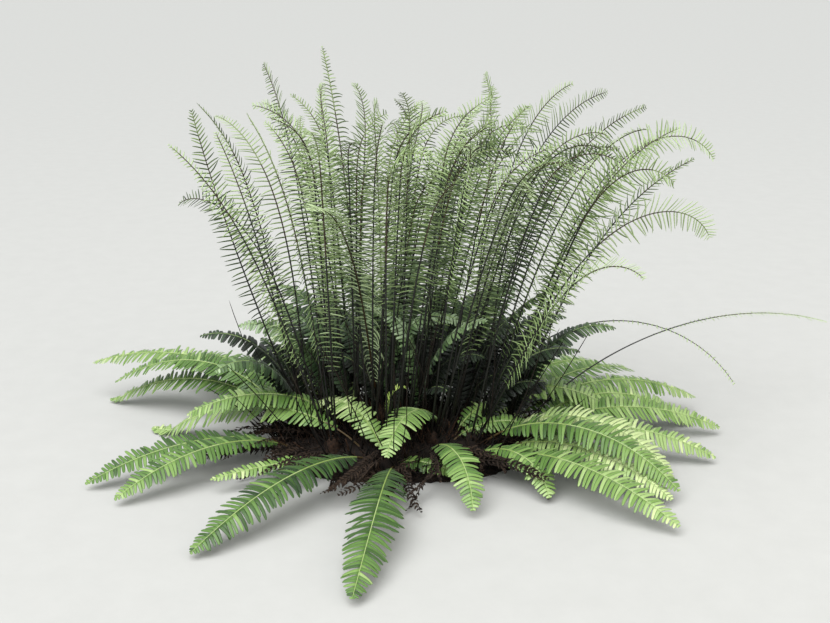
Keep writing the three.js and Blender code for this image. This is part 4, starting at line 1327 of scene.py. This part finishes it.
@dataclass
class Rootstock:
    """The low fibrous mound with its flat cut at ground level, and what stands out of it."""

    clump: Clump
    sides: int = 120
    rings: int = 26
    lobes: int = 5
    lobe_share: float = 0.035
    ragged: float = 0.035  # how far the rim strays from its outline, as a share
    rim_grain: float = 17
    lump_grain: float = 26
    lump: float = 4.5  # how far the lumps stand out
    lump_from: float = 12  # the height above which they are full
    spread: float = 0.97  # the part of the mound on which small shapes stand
    lean_in: float = 8  # how far the small shapes lean in the middle, in degrees
    set_in: float = 5  # how deep their feet are
    stubs: int = 460  # old stalk bases, broken off short
    old_stalks: int = 130  # those that still stand, bare
    fibres: int = 1700
    rim_fibres: int = 420
    scales: int = 30  # round each crown
    knob_sunk: float = 14
    knob_length: Pair = (36, 46)  # this and the next ones: least and most
    knob_girth: Pair = (13, 17)
    scale_length: Pair = (9, 20)
    scale_girth: Pair = (1.0, 1.9)
    scale_depth: Pair = (0.3, 0.5)
    stub_length: Pair = (22, 62)
    stub_girth: Pair = (1.5, 2.7)
    stalk_length: Pair = (130, 330)
    stalk_girth: Pair = (1.0, 1.7)
    fibre_length: Pair = (18, 58)
    fibre_girth: Pair = (0.4, 0.95)
    scale_lean: Pair = (58, 44)  # at a crown's foot, and how much less at its top, in degrees
    scale_ring: Pair = (15, 9)  # how far from the middle at its foot, and how much less at its top
    scale_rise: Pair = (4, 18)  # how high the lowest are, and how much higher the highest
    least: float = 2.0  # how far the middle lines of stalks and scales are kept above the ground
    seed: int = 33

    def build(self) -> None:
        """Builds the mound, the old stalk bases and the fibres."""
        rng = np.random.default_rng(self.seed)
        report(self.mound(), ["rootstock"])
        self.add_crowns(rng)
        self.add_stubs(rng)
        self.add_fibres(rng)

    def mound(self) -> bpy.types.Object:
        """Spins the mound's outline, roughens it and closes it with the flat cut."""
        half_width, half_depth, height = self.clump.mound
        shape = bmesh.new()
        verts = [shape.verts.new((half_width, 0, 0))]
        for k in range(1, self.rings + 1):
            share = math.cos(0.5 * math.pi * k / self.rings)
            verts.append(shape.verts.new((half_width * share, 0, height * (1 - share**4))))
        outline = verts + [shape.edges.new(pair) for pair in zip(verts, verts[1:])]
        full, axis, middle = 2 * math.pi, (0, 0, 1), (0, 0, 0)
        bmesh.ops.spin(
            shape, geom=outline, axis=axis, cent=middle, angle=full, steps=self.sides, use_merge=True
        )
        bmesh.ops.remove_doubles(shape, verts=shape.verts[:], dist=0.01)
        bmesh.ops.holes_fill(shape, edges=[edge for edge in shape.edges if edge.is_boundary], sides=0)
        for vert in shape.verts:
            x, y, z = vert.co
            ragged = self.ragged * noise.fractal(Vector((x, y, 0)) / self.rim_grain, 0.9, 2.1, 3)
            wide = 1 + self.lobe_share * math.sin(self.lobes * math.atan2(y, x)) + ragged
            lump = self.lump * noise.fractal(Vector((x, y, z)) / self.lump_grain, 0.9, 2.1, 4)
            swell = min(1.0, z / self.lump_from) if z > 0.01 else 0.0
            vert.co = (x * wide, y * wide * half_depth / half_width, max(0.0, z + swell * lump))
        bmesh.ops.recalc_face_normals(shape, faces=shape.faces[:])
        bmesh.ops.scale(shape, vec=(MM, MM, MM), verts=shape.verts[:])
        for face in shape.faces:
            face.smooth = True
        # Nearly black: the rootstock's own dark brown, darkened further as painted shade under the clump
        matted = FibrousSkin("fern_root_mat_matted", "#0b0907", "#261c15", 11, Grain(1.8, 1.4))
        return written("rootstock_mound", shape, matted.make())

    def standing(self, rng: np.random.Generator, count: int, crowding: float, splay: float = 66) -> Sprays:
        """Sets small shapes over the mound, leaning outwards.

        Args:
            rng: seeded numbers.
            count: how many.
            crowding: above 0.5, they crowd towards the middle.
            splay: how much more those at the rim lean than those in the middle, in degrees.

        Returns:
            The shapes, with their lengths and widths still at 1.
        """
        turn = rng.uniform(0, 2 * math.pi, count)
        out = rng.uniform(0, 1, count) ** crowding * self.spread
        x, y = on_oval(self.clump.mound, out, turn)
        z = np.array([self.clump.height(a, b) for a, b in zip(x, y)])
        lean = np.radians(self.lean_in + splay * out**1.3 + rng.normal(0, splay / 6, count))
        way, level = leaning(lean, turn + rng.normal(0, 0.5, count))
        ones = np.ones(count)
        return Sprays(
            foot=np.stack([x, y, z - self.set_in], axis=-1),
            out=way,
            across=-level,
            length=ones,
            half_width=ones,
            half_depth=ones,
            curl=rng.normal(0, 0.3, count),
            droop=rng.normal(0.25, 0.3, count),
            twist=rng.normal(0, 0.4, count),
            tint=rng.integers(0, 3, count),
        )

    def add_crowns(self, rng: np.random.Generator) -> None:
        """Adds the tufts' crowns, and the papery chestnut scales round the feet of their fronds."""
        girth = (1.0, 0.93, 0.8, 0.62, 0.36, 0.0)
        knob = Stencil.drawn(ring_corners(12), (0, 0.3, 0.6, 0.82, 0.95, 1.0), girth)
        scale = Stencil.drawn(RIDGE, (0, 0.2, 0.5, 0.8, 1.0), (0.7, 1.0, 0.8, 0.4, 0.0))
        middles = np.array(self.clump.middles)
        count = len(middles)
        knobs = Sprays(
            foot=middles - [0, 0, self.knob_sunk],
            out=np.tile([0.0, 0.0, 1.0], (count, 1)),
            across=np.tile([0.0, -1.0, 0.0], (count, 1)),
            length=rng.uniform(*self.knob_length, count),
            half_width=rng.uniform(*self.knob_girth, count),
            half_depth=rng.uniform(*self.knob_girth, count),
            curl=rng.normal(0, 0.2, count),
            droop=rng.normal(0, 0.2, count),
            twist=np.zeros(count),
            tint=rng.integers(0, 2, count),
        )
        piece = Joined("crowns")
        piece.add(knob, knobs.corners(knob, self.least), knobs.tint[:, None])
        number = count * self.scales
        tuft = np.repeat(np.arange(count), self.scales)
        turn = rng.uniform(0, 2 * math.pi, number)
        rise = rng.uniform(0, 1, number)
        lean = self.scale_lean[0] - self.scale_lean[1] * rise + rng.normal(0, 8, number)
        way, level = leaning(np.radians(lean), turn)
        x, y = on_oval((1, 1), self.scale_ring[0] - self.scale_ring[1] * rise, turn)
        z = self.scale_rise[0] + self.scale_rise[1] * rise
        scales = Sprays(
            foot=middles[tuft] + np.stack([x, y, z], axis=-1),
            out=way,
            across=-level,
            length=rng.uniform(*self.scale_length, number),
            half_width=rng.uniform(*self.scale_girth, number),
            half_depth=rng.uniform(*self.scale_depth, number),
            curl=rng.normal(0, 0.5, number),
            droop=rng.normal(-0.2, 0.5, number),
            twist=rng.normal(0, 0.8, number),
            tint=rng.integers(0, 3, number),
        )
        piece.add(scale, scales.corners(scale, self.least), scales.tint[:, None])
        # Darkened towards black as painted shade under the clump
        skins = fibrous_skins(
            5,
            Grain(1.2, 0.4),
            ("fern_crown_scaly_black", "#100c09", "#231910"),
            ("fern_crown_scaly_brown", "#1c130d", "#382619"),
        )
        skins += fibrous_skins(5, Grain(1.2, 0.3), ("fern_crown_scale_chestnut", "#362316", "#5a4029"))
        report(piece.write(skins))

    def add_stubs(self, rng: np.random.Generator) -> None:
        """Adds the bases of old stalks, broken off short, and the bare dark ones that still stand."""
        girth = (1.0, 0.82, 0.7, 0.62, 0.4, 0.0)
        stencil = Stencil.drawn(ring_corners(6), (0, 0.3, 0.62, 0.9, 0.97, 1.0), girth)
        rows = self.standing(rng, self.stubs, 0.62)
        rows.length = rng.uniform(*self.stub_length, self.stubs)
        rows.half_width = rng.uniform(*self.stub_girth, self.stubs)
        rows.half_depth = rows.half_width * 0.7
        bare = self.standing(rng, self.old_stalks, 0.7, 30)
        bare.length = rng.uniform(*self.stalk_length, self.old_stalks)
        bare.half_width = rng.uniform(*self.stalk_girth, self.old_stalks)
        bare.half_depth = bare.half_width * 0.8
        bare.tint = rng.integers(0, 2, self.old_stalks)
        piece = Joined("old_stalks")
        piece.add(stencil, rows.corners(stencil, self.least), rows.tint[:, None])
        piece.add(stencil, bare.corners(stencil, self.least), bare.tint[:, None])
        # Their own weathered dark brown, darkened further as painted shade under the clump
        skins = fibrous_skins(
            5,
            Grain(0.9, 0.3),
            ("fern_stalk_base_weathered_and_painted_shade_black", "#090806", "#15110c"),
            ("fern_stalk_base_weathered_and_painted_shade_brown", "#100c08", "#241a11"),
            ("fern_stalk_base_chestnut", "#291a11", "#4c3524"),
        )
        report(piece.write(skins))

    def add_fibres(self, rng: np.random.Generator) -> None:
        """Adds thin root fibres and scales over the mound."""
        stencil = Stencil.drawn(ring_corners(3), (0, 0.25, 0.5, 0.75, 1.0), (1.0, 0.9, 0.75, 0.5, 0.0))
        within, at_rim = self.standing(rng, self.fibres, 0.5), self.standing(rng, self.rim_fibres, 0.04)
        rows = Sprays.joined((within, at_rim))
        count = len(rows.length)
        rows.length = rng.uniform(*self.fibre_length, count)
        rows.half_width = rng.uniform(*self.fibre_girth, count)
        rows.half_depth = rows.half_width * 0.8
        rows.curl = rng.normal(0, 1.3, count)
        rows.droop = rng.normal(1.0, 0.9, count)
        piece = Joined("root_fibres")
        piece.add(stencil, rows.corners(stencil, 1.5), rows.tint[:, None])
        # Darkened towards black as painted shade under the clump
        skins = fibrous_skins(
            8,
            Grain(0.8, 0.2),
            ("fern_root_fibre_black", "#0d0a08", "#1c1510"),
            ("fern_root_fibre_brown", "#1a120d", "#30231a"),
            ("fern_root_scale_chestnut", "#281a11", "#493424"),
        )
        report(piece.write(skins))


class LampKind(Enum):
    """The kinds of lamp, by the tool's own names."""

    GLOW = "SUN"
    PANEL = "AREA"


@dataclass(frozen=True)
class Lamp:
    """A soft lamp that points at the clump: a wide even glow, or a square panel."""

    name: str
    kind: LampKind
    place: tuple[float, float, float]  # in metres
    size: float  # how wide a glow is in degrees, or a panel's side in metres
    power: float  # a glow's is in watts for each square metre, and a panel's in watts
    colour: str = "#ffffff"


@dataclass
class Studio:
    """The plain pale floor, the soft light and the camera."""

    aim: tuple[float, float, float] = (0.0, 0.0, 0.3)
    lamps: tuple[Lamp, ...] = (
        Lamp("sky_lamp", LampKind.GLOW, (-0.6, -1.1, 3.0), 64, 3.5, "#fbfdff"),
        Lamp("left_lamp", LampKind.PANEL, (-2.4, -2.6, 2.6), 2.5, 34, "#ffffff"),
        Lamp("right_lamp", LampKind.PANEL, (2.8, -2.0, 2.4), 2.5, 26, "#fffaf2"),
    )
    eye: tuple[float, float, float] = (0.020, -2.070, 0.900)
    pitch: float = 16.9  # degrees below level
    focal_px: float = 1150
    middle_px: float = 412
    image_width: float = 830
    sensor: float = 36.0
    floor_size: float = 30  # half its side, in metres
    floor_drop: float = 0.0005
    sky: str = "#e8ecee"
    sky_strength: float = 0.55

    def build(self) -> None:
        """Builds the stage."""
        self.add_floor()
        self.add_world()
        for lamp in self.lamps:
            self.add_lamp(lamp)
        self.add_camera()

    def add_floor(self) -> None:
        """Lays a wide pale floor."""
        shape = bmesh.new()
        bmesh.ops.create_grid(shape, x_segments=1, y_segments=1, size=self.floor_size)
        bmesh.ops.translate(shape, vec=(0, 0, -self.floor_drop), verts=shape.verts[:])
        plaster = FibrousSkin("plaster_floor", "#bcbbb7", "#bfbeba", 60, Grain(2, 0.02), 0.95)
        floor = written("floor", shape, plaster.make())

    def add_world(self) -> None:
        """Lights the scene evenly from a pale sky."""
        world = bpy.data.worlds.new("studio")
        world.use_nodes = True
        backdrop = world.node_tree.nodes["Background"]
        backdrop.inputs["Color"].default_value = linear(self.sky)
        backdrop.inputs["Strength"].default_value = self.sky_strength
        bpy.context.scene.world = world
        bpy.context.scene.view_settings.view_transform = "Standard"

    def add_lamp(self, lamp: Lamp) -> None:
        """Hangs a soft lamp that faces the clump."""
        light = bpy.data.lights.new(lamp.name, lamp.kind.value)
        light.energy = lamp.power
        if lamp.kind is LampKind.GLOW:
            light.angle = math.radians(lamp.size)
        else:
            light.size = lamp.size
        light.color = linear(lamp.colour)[:3]
        hung = bpy.data.objects.new(lamp.name, light)
        hung.location = lamp.place
        way = Vector(self.aim) - Vector(lamp.place)
        hung.rotation_euler = way.to_track_quat("-Z", "Y").to_euler()
        bpy.context.scene.collection.objects.link(hung)

    def add_camera(self) -> None:
        """Sets up the camera at the photograph's angle, turned a little so that the middles agree."""
        lens = bpy.data.cameras.new("photo_camera")
        lens.sensor_width = self.sensor
        lens.lens = self.focal_px / self.image_width * self.sensor
        lens.clip_end = 200
        camera = bpy.data.objects.new("photo_camera", lens)
        camera.location = self.eye
        turn = (self.middle_px - self.image_width / 2) / self.focal_px
        camera.rotation_euler = (math.radians(90 - self.pitch), 0, turn)
        bpy.context.scene.collection.objects.link(camera)
        bpy.context.scene.camera = camera


def main() -> None:
    """Grows the clump, builds and dresses its pieces and sets the stage."""
    logging.basicConfig(level=logging.INFO, format="%(message)s")
    clump = Clump()
    clump.build()
    log.info("clump: %d fronds", len(clump.fronds))
    Rootstock(clump).build()
    TallFronds(clump).build()
    BroadFronds(clump).build()
    Studio().build()


if __name__ == "__main__":
    main()
